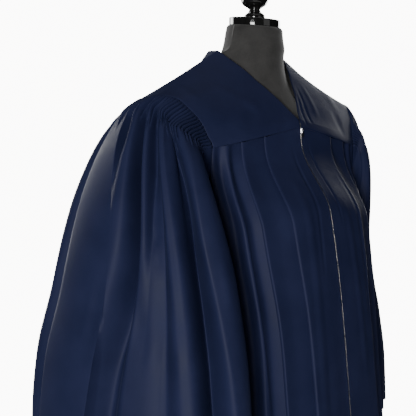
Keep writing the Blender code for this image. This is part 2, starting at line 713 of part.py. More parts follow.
def front_base(top, angles, row):
    """A front panel's point without folds: its place down the panel goes from 0 to 1."""
    start = panel_top(top)
    z = start[2] + (HEM_Z - start[2]) * row
    angle = float(angles(z)[0])
    share = ease((start[2] - z) / PANEL_RELEASE)
    hang = body_point(angle, z)
    return np.array((start[0] + (hang[0] - start[0]) * share,
                     start[1] + (hang[1] - start[1]) * share, z))


def fold_angles(chest, waist, hem):
    return Smooth([(HEM_Z, hem), (FOLD_WAIST_Z, waist), (FOLD_CHEST_Z, chest),
                   (FOLD_TOP_Z, chest)])


def front_section(folds, row):
    """The folded line of a front panel at one row, from the zip to the side seam."""
    points = []
    for name, top, chest, waist, hem, d_top, d_chest, d_waist, d_hem in folds:
        depths = Smooth([(HEM_Z, d_hem), (FOLD_WAIST_Z, d_waist), (FOLD_CHEST_Z, d_chest),
                         (min(panel_top(top)[2], FOLD_TOP_Z) + DEPTH_START, d_top)])
        centre = front_base(top, fold_angles(chest, waist, hem), row)
        ahead = front_base(min(top + AHEAD_TOP, 2.0),
                           fold_angles(chest + AHEAD_ANGLE, waist + AHEAD_ANGLE,
                                       hem + AHEAD_ANGLE), row)
        side_way = unit((ahead - centre) * np.array((1, 1, 0)))
        out = np.array((-side_way[1], side_way[0], 0.0))
        depth = float(depths(centre[2])[0])
        if name == "zip_edge":
            centre[0] = -FRONT_EDGE_X
        if name == "tape_edge":
            centre[0] = -TAPE_COVER
        if not name.startswith("pleat"):
            points.append(centre + out * depth)
            continue
        underlay, sink = underlay_at(centre[2])
        for turn, under, level in PLEAT_LAYERS:
            points.append(centre + side_way * (turn * PLEAT_TURN - under * underlay)
                          + out * (depth - sink * level))
    return points


MITRE_LEAST = 0.3
MITRE_MOST = 1.8


def plan_offset(line, distance):
    """A horizontal section moved outwards by a distance, with mitred corners."""
    line = np.array(line)
    flat = line[:, :2]
    ways = np.diff(flat, axis=0)
    ways = np.array([unit(w) for w in ways])
    moved = []
    for i in range(len(flat)):
        before = ways[max(i - 1, 0)]
        after = ways[min(i, len(ways) - 1)]
        normal_before = np.array((-before[1], before[0]))
        normal_after = np.array((-after[1], after[0]))
        middle = unit(normal_before + normal_after)
        stretch = min(1.0 / max(float(middle @ normal_after), MITRE_LEAST), MITRE_MOST)
        moved.append(np.array((*(flat[i] + middle * distance * stretch), line[i, 2])))
    return moved


def make_front(name, folds, side, look):
    sections = [front_section(folds, row) for row in PANEL_ROWS]
    outer = []
    inner = []
    for section in sections:
        outside = plan_offset(section, CLOTH / 2)
        inside = plan_offset(section, -CLOTH / 2)
        for line, shift in ((outside, -CLOTH / 2), (inside, CLOTH / 2)):
            line[0] = np.array((-FRONT_EDGE_X, line[0][1], line[0][2]))
            line[-1] = section[-1] + np.array((shift, 0, 0))
        outer.append(mirrored(outside, side))
        inner.append(mirrored(inside, side))
    wall = shell_of(outer, inner, closed=False)
    return add_object(name, wall.points, wall.faces, look)


def back_columns():
    """Places across the right half of the back, as x on the seam or q on the armhole."""
    places = [("arm", UNDERARM_Q + (BACK_YOKE_Q - UNDERARM_Q) * k / 5) for k in range(5)]
    places.append(("seam", 0.0))
    outer_x = abs(BACK_SEAM[0][1])
    plain_steps = 4
    for k in range(1, plain_steps):
        places.append(("x", outer_x + (BACK_FLUTED_HALF - outer_x) * k / plain_steps))
    pitch = 2 * BACK_FLUTED_HALF / BACK_FLUTES
    for k in range(BACK_FLUTES // 2 + 1):
        places.append(("x", BACK_FLUTED_HALF - pitch * k))
    return places


def back_top(kind, value):
    if kind == "arm":
        return armhole_point(value) + np.array((0, SEAM_GAP, 0))
    if kind == "seam":
        return back_seam(0) - np.array((0, 0, YOKE_SEAM_GAP))
    low = 0.0
    high = 1.0
    for _ in range(30):
        middle = (low + high) / 2
        if -back_seam(middle)[0] > value:
            low = middle
        else:
            high = middle
    return back_seam(low) - np.array((0, 0, YOKE_SEAM_GAP))


def back_point(start, order, row):
    """A point of the back without folds; order goes from the side seam (0) to the centre (1)."""
    z = start[2] + (HEM_Z - start[2]) * row
    share = ease((start[2] - z) / PANEL_RELEASE)
    hang = body_point(90.0 * (1 - order), z, front=False)
    return np.array((start[0] + (hang[0] - start[0]) * share,
                     start[1] + (hang[1] - start[1]) * share, z))


def back_depth(order, z):
    """How far the back's folds stand out at a place across it and a height."""
    waist_angles = [row[0] for row in BACK_FOLDS]
    hem_angles = [row[1] for row in BACK_FOLDS]
    down = ease((FOLD_WAIST_Z - z) / (FOLD_WAIST_Z - HEM_Z))
    keys = [w + (h - w) * down for w, h in zip(waist_angles, hem_angles)]
    rows = [(key, fold[2], fold[3], fold[4]) for key, fold in zip(keys, BACK_FOLDS)]
    chest, waist, hem = Smooth(rows)(90.0 * order)
    levels = Smooth([(HEM_Z, hem), (FOLD_WAIST_Z, waist), (FOLD_CHEST_Z, chest), (1.28, 0.0)])
    return float(levels(z)[0])


def make_back(name, look):
    places = back_columns()
    starts = [back_top(kind, value) for kind, value in places]
    lengths = np.cumsum([0] + [np.linalg.norm(b - a) for a, b in zip(starts, starts[1:])])
    orders = lengths / lengths[-1]

    def half_row(row_places, row):
        line = []
        for start, order in row_places:
            if row == PANEL_ROWS[1]:
                band = BACK_BAND / (start[2] - HEM_Z)
                place = row + (band - row) * ease((order - BAND_FROM) / (BAND_FULL - BAND_FROM))
            else:
                place = row
            point = back_point(start, order, place)
            near = back_point(start, order + AHEAD_TOP, place)
            way = unit((near - point) * np.array((1, 1, 0)))
            if order == 1:
                way = np.array((1.0, 0.0, 0.0))
            out = np.array((-way[1], way[0], 0.0))
            line.append(point + out * back_depth(order, point[2]))
        return line

    def whole(line):
        other = [np.array((-p[0], p[1], p[2])) for p in line[-2::-1]]
        return line + other

    coarse_places = list(zip(starts, orders))
    coarse = [whole(half_row(coarse_places, row)) for row in PANEL_ROWS]
    outer = [plan_offset(line, CLOTH / 2) for line in coarse]
    inner = [plan_offset(line, -CLOTH / 2) for line in coarse]
    for lines, shift in ((outer, -CLOTH / 2), (inner, CLOTH / 2)):
        for line, middle in zip(lines, coarse):
            line[0] = middle[0] + np.array((shift, 0, 0))
            line[-1] = middle[-1] - np.array((shift, 0, 0))
    first_fluted = len(places) - 1 - BACK_FLUTES // 2
    for k in (0, 1):
        line = outer[k]
        ways = plan_offset(coarse[k], CLOTH / 2 + FLUTE_HEIGHT)
        fine = []
        for c in range(len(line) - 1):
            fluted = first_fluted <= c < len(line) - 1 - first_fluted
            for step in range(FLUTE_POINTS):
                t = step / FLUTE_POINTS
                low = line[c] + (line[c + 1] - line[c]) * t
                high = ways[c] + (ways[c + 1] - ways[c]) * t
                fine.append(high if fluted and step > 0 else low)
        fine.append(line[-1])
        outer[k] = fine
    wall = shell_of(outer, inner, closed=False)
    return add_object(name, wall.points, wall.faces, look)


def sleeve_ring_point(angle, z, rings):
    centre_x, centre_y, across, along, turn = rings(z)
    turned = math.radians(turn)
    outwards = np.array((-math.cos(turned), -math.sin(turned)))
    forwards = np.array((math.sin(turned), -math.cos(turned)))
    a = math.radians(angle)
    place = np.array((centre_x, centre_y))
    place = place + outwards * across * math.cos(a) + forwards * along * math.sin(a)
    return np.array((place[0], place[1], z))


class SleeveFolds:
    """Angles and depths of a sleeve's folds at any place round its head."""

    def __init__(self, rows):
        first = [(row[0] - 1, row[1] - 360, row[2] - 360, *row[3:]) for row in rows[-3:]]
        last = [(row[0] + 1, row[1] + 360, row[2] + 360, *row[3:]) for row in rows[:3]]
        self.table = Smooth(first + list(rows) + last)

    def angle(self, q, z):
        waist, hem = self.table(q)[:2]
        share = (SLEEVE_RING_TOP_Z - z) / (SLEEVE_RING_TOP_Z - SLEEVE_HEM_Z)
        return float(waist + (hem - waist) * share)

    def depth(self, q, fraction):
        top, waist, hem = self.table(q)[2:5]
        if fraction < 0.5:
            return float(top + (waist - top) * ease(fraction / 0.5))
        return float(waist + (hem - waist) * ease((fraction - 0.5) / 0.5))


BAND_STEPS = 8
PATH_STEPS = 24
PATH_NEAR = 0.03
SLEEVE_RIGHT_FULLNESS = 1.0
SLEEVE_LEFT_FULLNESS = 0.52
# How far a column has turned down where it leaves the band.
BAND_TURN = 0.8
# Share of a fold's head depth that its column has at the lower edge of the fluted band.
BAND_DEPTH_SHARE = 0.4


def hermite(start, leave, end, arrive, t):
    h00 = 2 * t ** 3 - 3 * t ** 2 + 1
    h10 = t ** 3 - 2 * t ** 2 + t
    h01 = -2 * t ** 3 + 3 * t ** 2
    h11 = t ** 3 - t ** 2
    return h00 * start + h10 * leave + h01 * end + h11 * arrive


def sleeve_path(q, folds, rings, fullness):
    """Points of one sleeve column: across the fluted band, then down to the sleeve hem."""
    seam = armhole(q % 1.0)
    spread = np.array((fullness, fullness, 1.0))
    start = seam[:3] + armhole_away(q) * seam[6]
    reach = band_reach(q % 1.0) * spread
    fall = sleeve_fall(q % 1.0) * spread
    edge = start + reach
    length = np.linalg.norm(reach)
    turned = unit(unit(reach) + BAND_TURN * unit(fall)) * length
    leave = armhole_away(q) * length
    end = sleeve_ring_point(folds.angle(q, SLEEVE_RING_TOP_Z), SLEEVE_RING_TOP_Z, rings)
    below_z = SLEEVE_RING_TOP_Z - PATH_NEAR
    below = sleeve_ring_point(folds.angle(q, below_z), below_z, rings)
    arrive = (below - end) / PATH_NEAR * (edge[2] - SLEEVE_RING_TOP_Z)
    points = [hermite(start, leave, edge, turned, k / BAND_STEPS) for k in range(BAND_STEPS)]
    points += [hermite(edge, fall, end, arrive, k / PATH_STEPS) for k in range(PATH_STEPS + 1)]
    for k in range(1, PATH_STEPS + 1):
        z = SLEEVE_RING_TOP_Z + (SLEEVE_HEM_Z - SLEEVE_RING_TOP_Z) * k / PATH_STEPS
        points.append(sleeve_ring_point(folds.angle(q, z), z, rings))
    return np.array(points)


def along_path(path, distance):
    """The point a distance down a path."""
    lengths = np.concatenate([[0.0], np.cumsum(np.linalg.norm(np.diff(path, axis=0), axis=1))])
    return np.array([np.interp(distance, lengths, path[:, k]) for k in range(3)])


def path_length(path):
    return float(np.linalg.norm(np.diff(path, axis=0), axis=1).sum())


def sleeve_columns():
    """Places round the armhole: one for each flute, and a few under the arm."""
    front = [FRONT_YOKE_Q * k / SLEEVE_ARC_FLUTES for k in range(SLEEVE_ARC_FLUTES)]
    under = [FRONT_YOKE_Q + (BACK_YOKE_Q - FRONT_YOKE_Q) * k / UNDERARM_COLUMNS
             for k in range(UNDERARM_COLUMNS)]
    back = [BACK_YOKE_Q + (1 - BACK_YOKE_Q) * k / SLEEVE_ARC_FLUTES
            for k in range(SLEEVE_ARC_FLUTES)]
    return front + under + back


def sleeve_rows(q, folds, rings, fullness):
    path = sleeve_path(q, folds, rings, fullness)
    total = path_length(path)
    band = path_length(path[:BAND_STEPS + 1])
    distances = [0.0, band] + [band + (total - band) * share for share in SLEEVE_ROWS]
    return [along_path(path, d) for d in distances]


def make_sleeve(name, folds_table, rings_table, fullness, side, look):
    folds = SleeveFolds(folds_table)
    rings = Smooth(rings_table)
    columns = sleeve_columns()
    grid = np.array([sleeve_rows(q, folds, rings, fullness) for q in columns])
    grid = grid.transpose(1, 0, 2)
    normals = grid_normals(grid, closed=True)
    centre = grid[-1].mean(axis=0)
    if np.dot(normals[-1, 0], grid[-1, 0] - centre) < 0:
        normals = -normals
    shares = (0.0, 0.0) + SLEEVE_ROWS
    for r in range(1, grid.shape[0]):
        part = BAND_DEPTH_SHARE if r == 1 else 1.0
        for c, q in enumerate(columns):
            grid[r, c] = grid[r, c] + normals[r, c] * folds.depth(q, shares[r]) * part
    final = grid_normals(grid, closed=True)
    if np.dot(final[-1, 0], grid[-1, 0] - centre) < 0:
        final = -final
    for c, q in enumerate(columns):
        final[0, c] = armhole_normal(q) if q < FRONT_YOKE_Q or q > BACK_YOKE_Q else final[1, c]
    outer = grid + final * CLOTH / 2
    inner = grid - final * CLOTH / 2
    arc = SLEEVE_ARC_FLUTES
    count = len(columns)
    fine_rows = []
    for r in (0, 1):
        fine = []
        for c in range(count):
            after = (c + 1) % count
            fluted = c < arc or c >= count - arc
            for step in range(FLUTE_POINTS):
                t = step / FLUTE_POINTS
                point = outer[r, c] + (outer[r, after] - outer[r, c]) * t
                lift = unit(final[r, c] + (final[r, after] - final[r, c]) * t)
                if fluted and step > 0:
                    point = point + lift * FLUTE_HEIGHT
                fine.append(point)
        fine_rows.append(fine)
    outer_rows = [mirrored(row, side) for row in fine_rows + [list(row) for row in outer[2:]]]
    inner_rows = [mirrored(list(row), side) for row in inner]
    wall = shell_of(outer_rows, inner_rows, closed=True)
    return add_object(name, wall.points, wall.faces, look)


def form_ring(z):
    half_width, front, back, neck, centre_y = form_sections(z)
    points = []
    for k in range(FORM_SEGMENTS):
        turn = 2 * math.pi * k / FORM_SEGMENTS
        reach = abs(math.sin(turn))
        neck_reach = max(neck, half_width * FORM_NECK_LEAST)
        width = neck_reach + (half_width - neck_reach) * reach ** FORM_GATHER
        x = math.sin(turn) * width
        lens = (front if math.cos(turn) > 0 else back) * math.sqrt(max(1 - (x / half_width) ** 2, 0))
        circle = math.sqrt(max(neck ** 2 - x ** 2, 0))
        depth = (lens ** FORM_BLEND + circle ** FORM_BLEND) ** (1 / FORM_BLEND)
        y = centre_y - math.copysign(depth, math.cos(turn))
        lean = NECK_TILT * ease((z - TILT_FROM_Z) / (TILT_FULL_Z - TILT_FROM_Z))
        points.append(np.array((x, y, z + (y - NECK_Y) * lean)))
    return points


def make_form(name, look):
    wall = Wall()
    heights = [row[0] for row in FORM_SECTIONS]
    heights += [(a + b) / 2 for a, b in zip(heights, heights[1:]) if a > FORM_FINE_FROM_Z]
    rings = [wall.ring(form_ring(z)) for z in sorted(heights)]
    for lower, upper in zip(rings, rings[1:]):
        wall.join(lower, upper, closed=True)
    wall.faces.append(tuple(rings[0]))
    wall.faces.append(tuple(rings[-1]))
    return add_object(name, wall.points, wall.faces, look)


def make_turned(name, profile, centre_y, base_z, look, tilted_rows=0):
    """A round solid turned from rows of radius and height; its first rows may lean forwards."""
    wall = Wall()
    rings = []
    for row, (radius, height) in enumerate(profile):
        lean = NECK_TILT if row < tilted_rows else 0.0
        ring = []
        for k in range(TURNED_SEGMENTS):
            turn = 2 * math.pi * k / TURNED_SEGMENTS
            across = radius * math.sin(turn)
            ring.append(np.array((radius * math.cos(turn), centre_y + across,
                                  base_z + height + across * lean)))
        rings.append(wall.ring(ring))
    for lower, upper in zip(rings, rings[1:]):
        wall.join(lower, upper, closed=True)
    wall.faces.append(tuple(rings[0]))
    wall.faces.append(tuple(rings[-1]))
    return add_object(name, wall.points, wall.faces, look)


def point_across(section, reach):
    """Where a front's section lies at a distance from the middle of the zip."""
    xs = [-p[0] for p in section[:4]]
    return np.array([np.interp(reach, xs, [p[k] for p in section[:4]]) for k in (1, 2)])


def make_tape(name, folds, side, look):
    """A zip tape behind a front's edge, from the neck point down to just above the hem."""
    top = front_seam(0)
    neck = neck_edge(1)
    sections = [front_section(folds, row) for row in PANEL_ROWS]
    last = [p + (q - p) * TAPE_LAST for p, q in zip(sections[-2], sections[-1])]
    start_y = np.interp(ZIP_TOP_Z, (top[2], neck[2]), (top[1], neck[1]))
    rows = [(start_y, ZIP_TOP_Z, start_y + TAPE_TURNED_BACK, ZIP_TOP_Z)]
    for section in sections[:-1] + [last]:
        rows.append((*point_across(section, FRONT_EDGE_X), *point_across(section, TAPE_WIDTH)))
    rows[1] = (rows[1][0], rows[1][1], rows[1][2] + TAPE_TURNED_BACK / 2, rows[1][3])
    back = CLOTH / 2 + TAPE_GAP
    outer = []
    inner = []
    for edge_y, edge_z, cover_y, cover_z in rows:
        line = [(-TAPE_INNER_X, edge_y + back, edge_z), (-TAPE_WIDTH, cover_y + back, cover_z)]
        outer.append(mirrored(line, side))
        inner.append(mirrored([(p[0], p[1] + TAPE_THICK, p[2]) for p in line], side))
    wall = shell_of(outer, inner, closed=False)
    return add_object(name, wall.points, wall.faces, look)


class ZipFrame:
    """The slider's place: its top point on the zip line, and the ways down and out."""

    def __init__(self):
        upper = front_section(FRONT_RIGHT_FOLDS, PANEL_ROWS[0])[0]
        lower = front_section(FRONT_RIGHT_FOLDS, PANEL_ROWS[1])[0]
        self.down = unit((lower - upper) * np.array((0, 1, 1)))
        self.out = np.array((0.0, self.down[2], -self.down[1]))
        share = (upper[2] - SLIDER_TOP_Z) / (upper[2] - lower[2])
        self.top = (upper + (lower - upper) * share) * np.array((0, 1, 1))
        self.face = CLOTH / 2 + SEAM_GAP

    def place(self, across, down, out):
        point = self.top + self.down * down + self.out * (self.face + out)
        return point + np.array((across, 0.0, 0.0))


def make_slider(name, zip_frame, look):
    """The slider's face with two lugs that carry the pull tab, as rings down its length."""
    wall = Wall()
    rings = []
    for down, half, lug in SLIDER_SECTIONS:
        outline = [(half, 0.0), (half, SLIDER_THICK), (LUG_OUTER, SLIDER_THICK), (LUG_OUTER, lug),
                   (LUG_INNER, lug), (LUG_INNER, SLIDER_THICK)]
        outline = outline + [(-x, out) for x, out in reversed(outline)]
        rings.append(wall.ring([zip_frame.place(x, down, out) for x, out in outline]))
    for upper, lower in zip(rings, rings[1:]):
        wall.join(upper, lower, closed=True)
    wall.faces.append(tuple(rings[0]))
    wall.faces.append(tuple(rings[-1]))
    return add_object(name, wall.points, wall.faces, look, smooth=False)


def make_pull_tab(name, zip_frame, look):
    """The pull tab, with its origin on the hinge line between the slider's lugs."""
    half = [(half, TAB_PIVOT_DOWN + down) for down, half in TAB_SECTIONS]
    outline = half + [(-x, down) for x, down in reversed(half)]
    pivot = zip_frame.place(0.0, TAB_PIVOT_DOWN, TAB_PIVOT_OUT)
    wall = Wall()
    rings = []
    for out in (TAB_PIVOT_OUT - TAB_THICK / 2, TAB_PIVOT_OUT + TAB_THICK / 2):
        rings.append(wall.ring([zip_frame.place(x, down, out) - pivot for x, down in outline]))
    wall.join(rings[0], rings[1], closed=True)
    wall.faces.append(tuple(rings[0]))
    wall.faces.append(tuple(rings[1]))
    made = add_object(name, wall.points, wall.faces, look, smooth=False)
    made.location = tuple(float(c) for c in pivot)
    return made


for old in list(bpy.data.objects):
    bpy.data.objects.remove(old, do_unlink=True)

navy = material("navy_gown_cloth", NAVY, 0.62)
form_cloth = material("black_form_cloth", FORM_BLACK, 0.85)
gloss = material("gloss_black_wood", GLOSS_BLACK, 0.15)
tape_look = material("navy_zip_tape", TAPE_NAVY, 0.70)
steel = material("bright_zip_metal", STEEL, 0.25, 1.0)
iron = material("black_stand_metal", IRON, 0.45, 0.6)

make_front_yoke("yoke_front_right", -1, navy)
make_front_yoke("yoke_front_left", 1, navy)
make_back_yoke("yoke_back", navy)
make_front("front_right", FRONT_RIGHT_FOLDS, -1, navy)
make_front("front_left", FRONT_LEFT_FOLDS, 1, navy)
make_back("back_panel", navy)
make_sleeve("sleeve_right", SLEEVE_RIGHT_FOLDS, SLEEVE_RIGHT_RINGS, SLEEVE_RIGHT_FULLNESS, -1, navy)
make_sleeve("sleeve_left", SLEEVE_LEFT_FOLDS, SLEEVE_LEFT_RINGS, SLEEVE_LEFT_FULLNESS, 1, navy)
make_form("dress_form", form_cloth)
make_turned("form_cap", CAP_PROFILE, NECK_Y, CAP_BOTTOM_Z, gloss, tilted_rows=len(CAP_PROFILE))
make_turned("form_finial", FINIAL_PROFILE, NECK_Y, CAP_BOTTOM_Z + CAP_HEIGHT, gloss, tilted_rows=2)
make_turned("stand_pole", POLE_PROFILE, 0.0, 0.0, iron)
make_turned("stand_foot", FOOT_PROFILE, 0.0, 0.0, iron)
make_tape("zip_tape_right", FRONT_RIGHT_FOLDS, -1, tape_look)
make_tape("zip_tape_left", FRONT_LEFT_FOLDS, 1, tape_look)
zip_frame = ZipFrame()
make_slider("zip_slider", zip_frame, steel)
make_pull_tab("zip_pull_tab", zip_frame, steel)
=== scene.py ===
"""Looks of the graduation gown on its dress form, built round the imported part.

Metres, +Z up, the gown's front towards -Y, the wearer's right towards -X. Each cloth piece is a
thin shell on the same tables as its solid, with the flutes, folds and creases of real cloth.
"""
import math

import bpy
import numpy as np
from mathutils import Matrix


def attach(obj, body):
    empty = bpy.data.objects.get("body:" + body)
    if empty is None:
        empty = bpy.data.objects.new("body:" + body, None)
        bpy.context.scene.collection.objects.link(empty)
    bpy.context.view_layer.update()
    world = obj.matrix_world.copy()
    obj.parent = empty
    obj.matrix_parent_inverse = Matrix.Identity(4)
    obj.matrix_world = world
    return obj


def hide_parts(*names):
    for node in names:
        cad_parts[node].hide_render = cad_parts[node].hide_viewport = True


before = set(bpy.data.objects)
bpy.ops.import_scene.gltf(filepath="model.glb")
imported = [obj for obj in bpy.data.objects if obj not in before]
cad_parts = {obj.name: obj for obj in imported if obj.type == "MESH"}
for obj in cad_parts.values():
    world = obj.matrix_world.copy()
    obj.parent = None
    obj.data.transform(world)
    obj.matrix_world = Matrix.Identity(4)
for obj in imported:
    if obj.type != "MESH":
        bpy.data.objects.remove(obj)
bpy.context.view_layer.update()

ROOT = "gown_and_form"
# The wearer's sides: x is negative on the right.
RIGHT, LEFT = -1, 1

# Cloth in the scene is thinner than the solids' walls, and lies in the middle of them.
SHELL = 0.0008
SEAM_GAP = 0.0003
HEM_Z = 0.120
SLEEVE_HEM_Z = 0.700
SLEEVE_RING_TOP_Z = 1.050
FRONT_EDGE_X = 0.0015
BODY_SQUARENESS = 0.76

# Armhole seam on the right side: q runs from the shoulder forwards, under the arm and back up.
ARMHOLE = [
    # q,     x,       y,       z,      away_x, away_y, away_z, gap
    (0.000, -0.2535, 0.0060, 1.3570, -0.88, 0.00, -0.47, 0.0009),
    (0.038, -0.2490, -0.0149, 1.3590, -0.87, -0.08, -0.48, 0.0009),
    (0.098, -0.2350, -0.0441, 1.3535, -0.85, -0.25, -0.46, 0.0009),
    (0.155, -0.2206, -0.0653, 1.3342, -0.86, -0.28, -0.42, 0.0009),
    (0.209, -0.2086, -0.0810, 1.3123, -0.88, -0.28, -0.38, 0.0009),
    (0.258, -0.2006, -0.0905, 1.2881, -0.90, -0.25, -0.35, 0.0011),
    (0.300, -0.1948, -0.0972, 1.2670, -0.93, -0.20, -0.30, 0.0020),
    (0.343, -0.1950, -0.0930, 1.2250, -0.97, -0.18, -0.15, 0.0032),
    (0.419, -0.2020, -0.0600, 1.1600, -1.00, -0.05, 0.00, 0.0034),
    (0.500, -0.2080, 0.0080, 1.1250, -1.00, 0.00, 0.00, 0.0034),
    (0.581, -0.2040, 0.0760, 1.1600, -1.00, 0.05, 0.00, 0.0034),
    (0.657, -0.1990, 0.1120, 1.2250, -0.97, 0.18, -0.15, 0.0032),
    (0.700, -0.2000, 0.1180, 1.2750, -0.93, 0.20, -0.30, 0.0022),
    (0.776, -0.2130, 0.1050, 1.3120, -0.88, 0.28, -0.38, 0.0011),
    (0.854, -0.2290, 0.0780, 1.3400, -0.86, 0.25, -0.42, 0.0009),
    (0.932, -0.2440, 0.0420, 1.3550, -0.87, 0.10, -0.47, 0.0009),
    (1.000, -0.2535, 0.0060, 1.3570, -0.88, 0.00, -0.47, 0.0009),
]
FRONT_YOKE_Q = 0.300
UNDERARM_Q = 0.500
BACK_YOKE_Q = 0.700

NECK_EDGE = [
    # along, x,       y,       z
    (0.00, -0.0870, 0.0075, 1.4500),
    (0.12, -0.0780, -0.0120, 1.4345),
    (0.27, -0.0623, -0.0377, 1.4127),
    (0.42, -0.0487, -0.0567, 1.3921),
    (0.54, -0.0383, -0.0726, 1.3764),
    (0.69, -0.0253, -0.0905, 1.3568),
    (0.85, -0.0110, -0.1075, 1.3347),
    (1.00, -FRONT_EDGE_X, -0.1222, 1.3180),
]
FRONT_SEAM = [
    # along, x,       y,       z
    (0.00, -FRONT_EDGE_X, -0.1264, 1.3047),
    (0.24, -0.0460, -0.1245, 1.2958),
    (0.48, -0.0923, -0.1207, 1.2869),
    (0.73, -0.1417, -0.1124, 1.2772),
    (1.00, -0.1948, -0.0972, 1.2670),
]
BACK_NECK = [
    # along, x,       y,      z
    (0.00, -0.0870, 0.0078, 1.4500),
    (0.35, -0.0800, 0.0400, 1.4525),
    (0.65, -0.0520, 0.0670, 1.4545),
    (1.00, 0.0000, 0.0770, 1.4550),
]
BACK_SEAM = [
    # along, x,       y,      z
    (0.00, -0.2000, 0.1180, 1.2750),
    (0.30, -0.1450, 0.1330, 1.2690),
    (0.65, -0.0700, 0.1430, 1.2650),
    (1.00, 0.0000, 0.1460, 1.2640),
]
BODY_RINGS = [
    # z,    half_width, front, back
    (0.120, 0.328, 0.330, 0.318),
    (0.300, 0.296, 0.308, 0.290),
    (0.500, 0.250, 0.287, 0.260),
    (0.680, 0.205, 0.266, 0.232),
    (0.800, 0.199, 0.252, 0.216),
    (0.976, 0.200, 0.231, 0.196),
    (1.088, 0.204, 0.213, 0.181),
    (1.176, 0.204, 0.193, 0.166),
    (1.246, 0.200, 0.164, 0.152),
    (1.285, 0.198, 0.137, 0.146),
    (1.320, 0.198, 0.124, 0.142),
]


def slopes_of(keys, values):
    """Slopes that carry a smooth curve through the rows without overshooting them."""
    steps = np.diff(keys)[:, None]
    secants = np.diff(values, axis=0) / steps
    slopes = np.zeros_like(values)
    slopes[0] = secants[0]
    slopes[-1] = secants[-1]
    before = secants[:-1]
    after = secants[1:]
    same = before * after > 0
    slopes[1:-1] = np.where(same, 2.0 * before * after / np.where(same, before + after, 1.0), 0.0)
    return slopes


def smooth_step(start, leave, end, arrive, t):
    """The point at share t of the way from start to end, for the slopes given at both."""
    near = (2 * t ** 3 - 3 * t ** 2 + 1) * start + (t ** 3 - 2 * t ** 2 + t) * leave
    return near + (3 * t ** 2 - 2 * t ** 3) * end + (t ** 3 - t ** 2) * arrive


class Smooth:
    """A smooth curve through a table whose first column is the key; takes whole arrays."""

    def __init__(self, rows):
        data = np.array([[float(v) for v in row] for row in rows])
        self.keys = data[:, 0]
        self.values = data[:, 1:]
        self.slopes = slopes_of(self.keys, self.values)

    def __call__(self, at):
        at = np.clip(np.asarray(at, float), self.keys[0], self.keys[-1])
        row = np.clip(np.searchsorted(self.keys, at, side="right") - 1, 0, len(self.keys) - 2)
        step = self.keys[row + 1] - self.keys[row]
        t = ((at - self.keys[row]) / step)[..., None]
        leave, arrive = (step[..., None] * self.slopes[i] for i in (row, row + 1))
        return smooth_step(self.values[row], leave, self.values[row + 1], arrive, t)


def ease(t):
    t = np.clip(t, 0.0, 1.0)
    return t * t * (3 - 2 * t)


def bump(x):
    """A soft hill: 1 at 0, falling to 0 at -1 and 1."""
    return ease(1 - np.abs(x))


def unit(v):
    return v / np.maximum(np.linalg.norm(v, axis=-1, keepdims=True), 1e-12)


def vec(*parts):
    return np.stack(np.broadcast_arrays(*parts), axis=-1).astype(float)


armhole = Smooth(ARMHOLE)
neck_edge = Smooth(NECK_EDGE)
front_seam = Smooth(FRONT_SEAM)
back_neck = Smooth(BACK_NECK)
back_seam = Smooth(BACK_SEAM)
body_rings = Smooth(BODY_RINGS)


def arm_point(q):
    return armhole(np.mod(q, 1.0))[..., :3]


def grid_normals(grid, closed):
    if closed:
        across = np.roll(grid, -1, axis=1) - np.roll(grid, 1, axis=1)
    else:
        across = np.gradient(grid, axis=1)
    return unit(np.cross(across, np.gradient(grid, axis=0)))


def normals_to(grid, spot, way):
    """Normals of an open grid, turned so that the one at a spot has a y of the sign given."""
    normals = grid_normals(grid, False)
    return normals if normals[spot][1] * way > 0 else -normals


def facing(grid, spot, way):
    """An open grid whose columns run so that its normal at a spot has a y of the sign given."""
    return grid if grid_normals(grid, False)[spot][1] * way > 0 else grid[:, ::-1]


def distances(points, axis=0):
    """Lengths run along one axis of the points, from 0 at its start."""
    steps = np.linalg.norm(np.diff(points, axis=axis), axis=-1)
    before = [(0, 0)] * steps.ndim
    before[axis] = (1, 0)
    return np.cumsum(np.pad(steps, before), axis=axis)


# Materials

def new_material(name):
    made = bpy.data.materials.new(name)
    made.use_nodes = True
    tree = made.node_tree
    return made, tree, tree.nodes["Principled BSDF"]


def set_values(node, **values):
    """Sets a node's properties, and its inputs with _ written for each space."""
    for key, value in values.items():
        if hasattr(node, key):
            setattr(node, key, value)
        else:
            node.inputs[key.replace("_", " ")].default_value = value


def link_inputs(tree, node, sources):
    for key, source in sources.items():
        tree.links.new(source, node.inputs[key])


def add_node(tree, kind, sources=None, **values):
    made = tree.nodes.new(kind)
    set_values(made, **values)
    link_inputs(tree, made, sources or {})
    return made


def noise(tree, scale, detail, roughness):
    place = add_node(tree, "ShaderNodeTexCoord").outputs["Object"]
    return add_node(tree, "ShaderNodeTexNoise", {"Vector": place}, Scale=scale, Detail=detail,
                    Roughness=roughness).outputs["Fac"]


def ramp(tree, source, stops):
    made = add_node(tree, "ShaderNodeValToRGB", {"Fac": source})
    for element, (place, colour) in zip(made.color_ramp.elements, stops):
        element.position = place
        element.color = colour
    return made.outputs["Color"]


def mapped(tree, source, from_ends, to_ends):
    """The source's values, carried from one pair of ends to another."""
    made = add_node(tree, "ShaderNodeMapRange", {"Value": source},
                    From_Min=from_ends[0], From_Max=from_ends[1],
                    To_Min=to_ends[0], To_Max=to_ends[1])
    return made.outputs["Result"]


def bumped(tree, height, strength, distance, under=None):
    """The normal of a bump, laid over the one under it."""
    made = add_node(tree, "ShaderNodeBump", {"Height": height}, Strength=strength,
                    Distance=distance)
    if under is not None:
        tree.links.new(under, made.inputs["Normal"])
    return made.outputs["Normal"]


# Parts of the patches and of the fine noise in a cloth's tone, and the twill's slant in degrees.
PATCH_PART = 0.55
FINE_PART = 0.45
TWILL_SLANT = 52


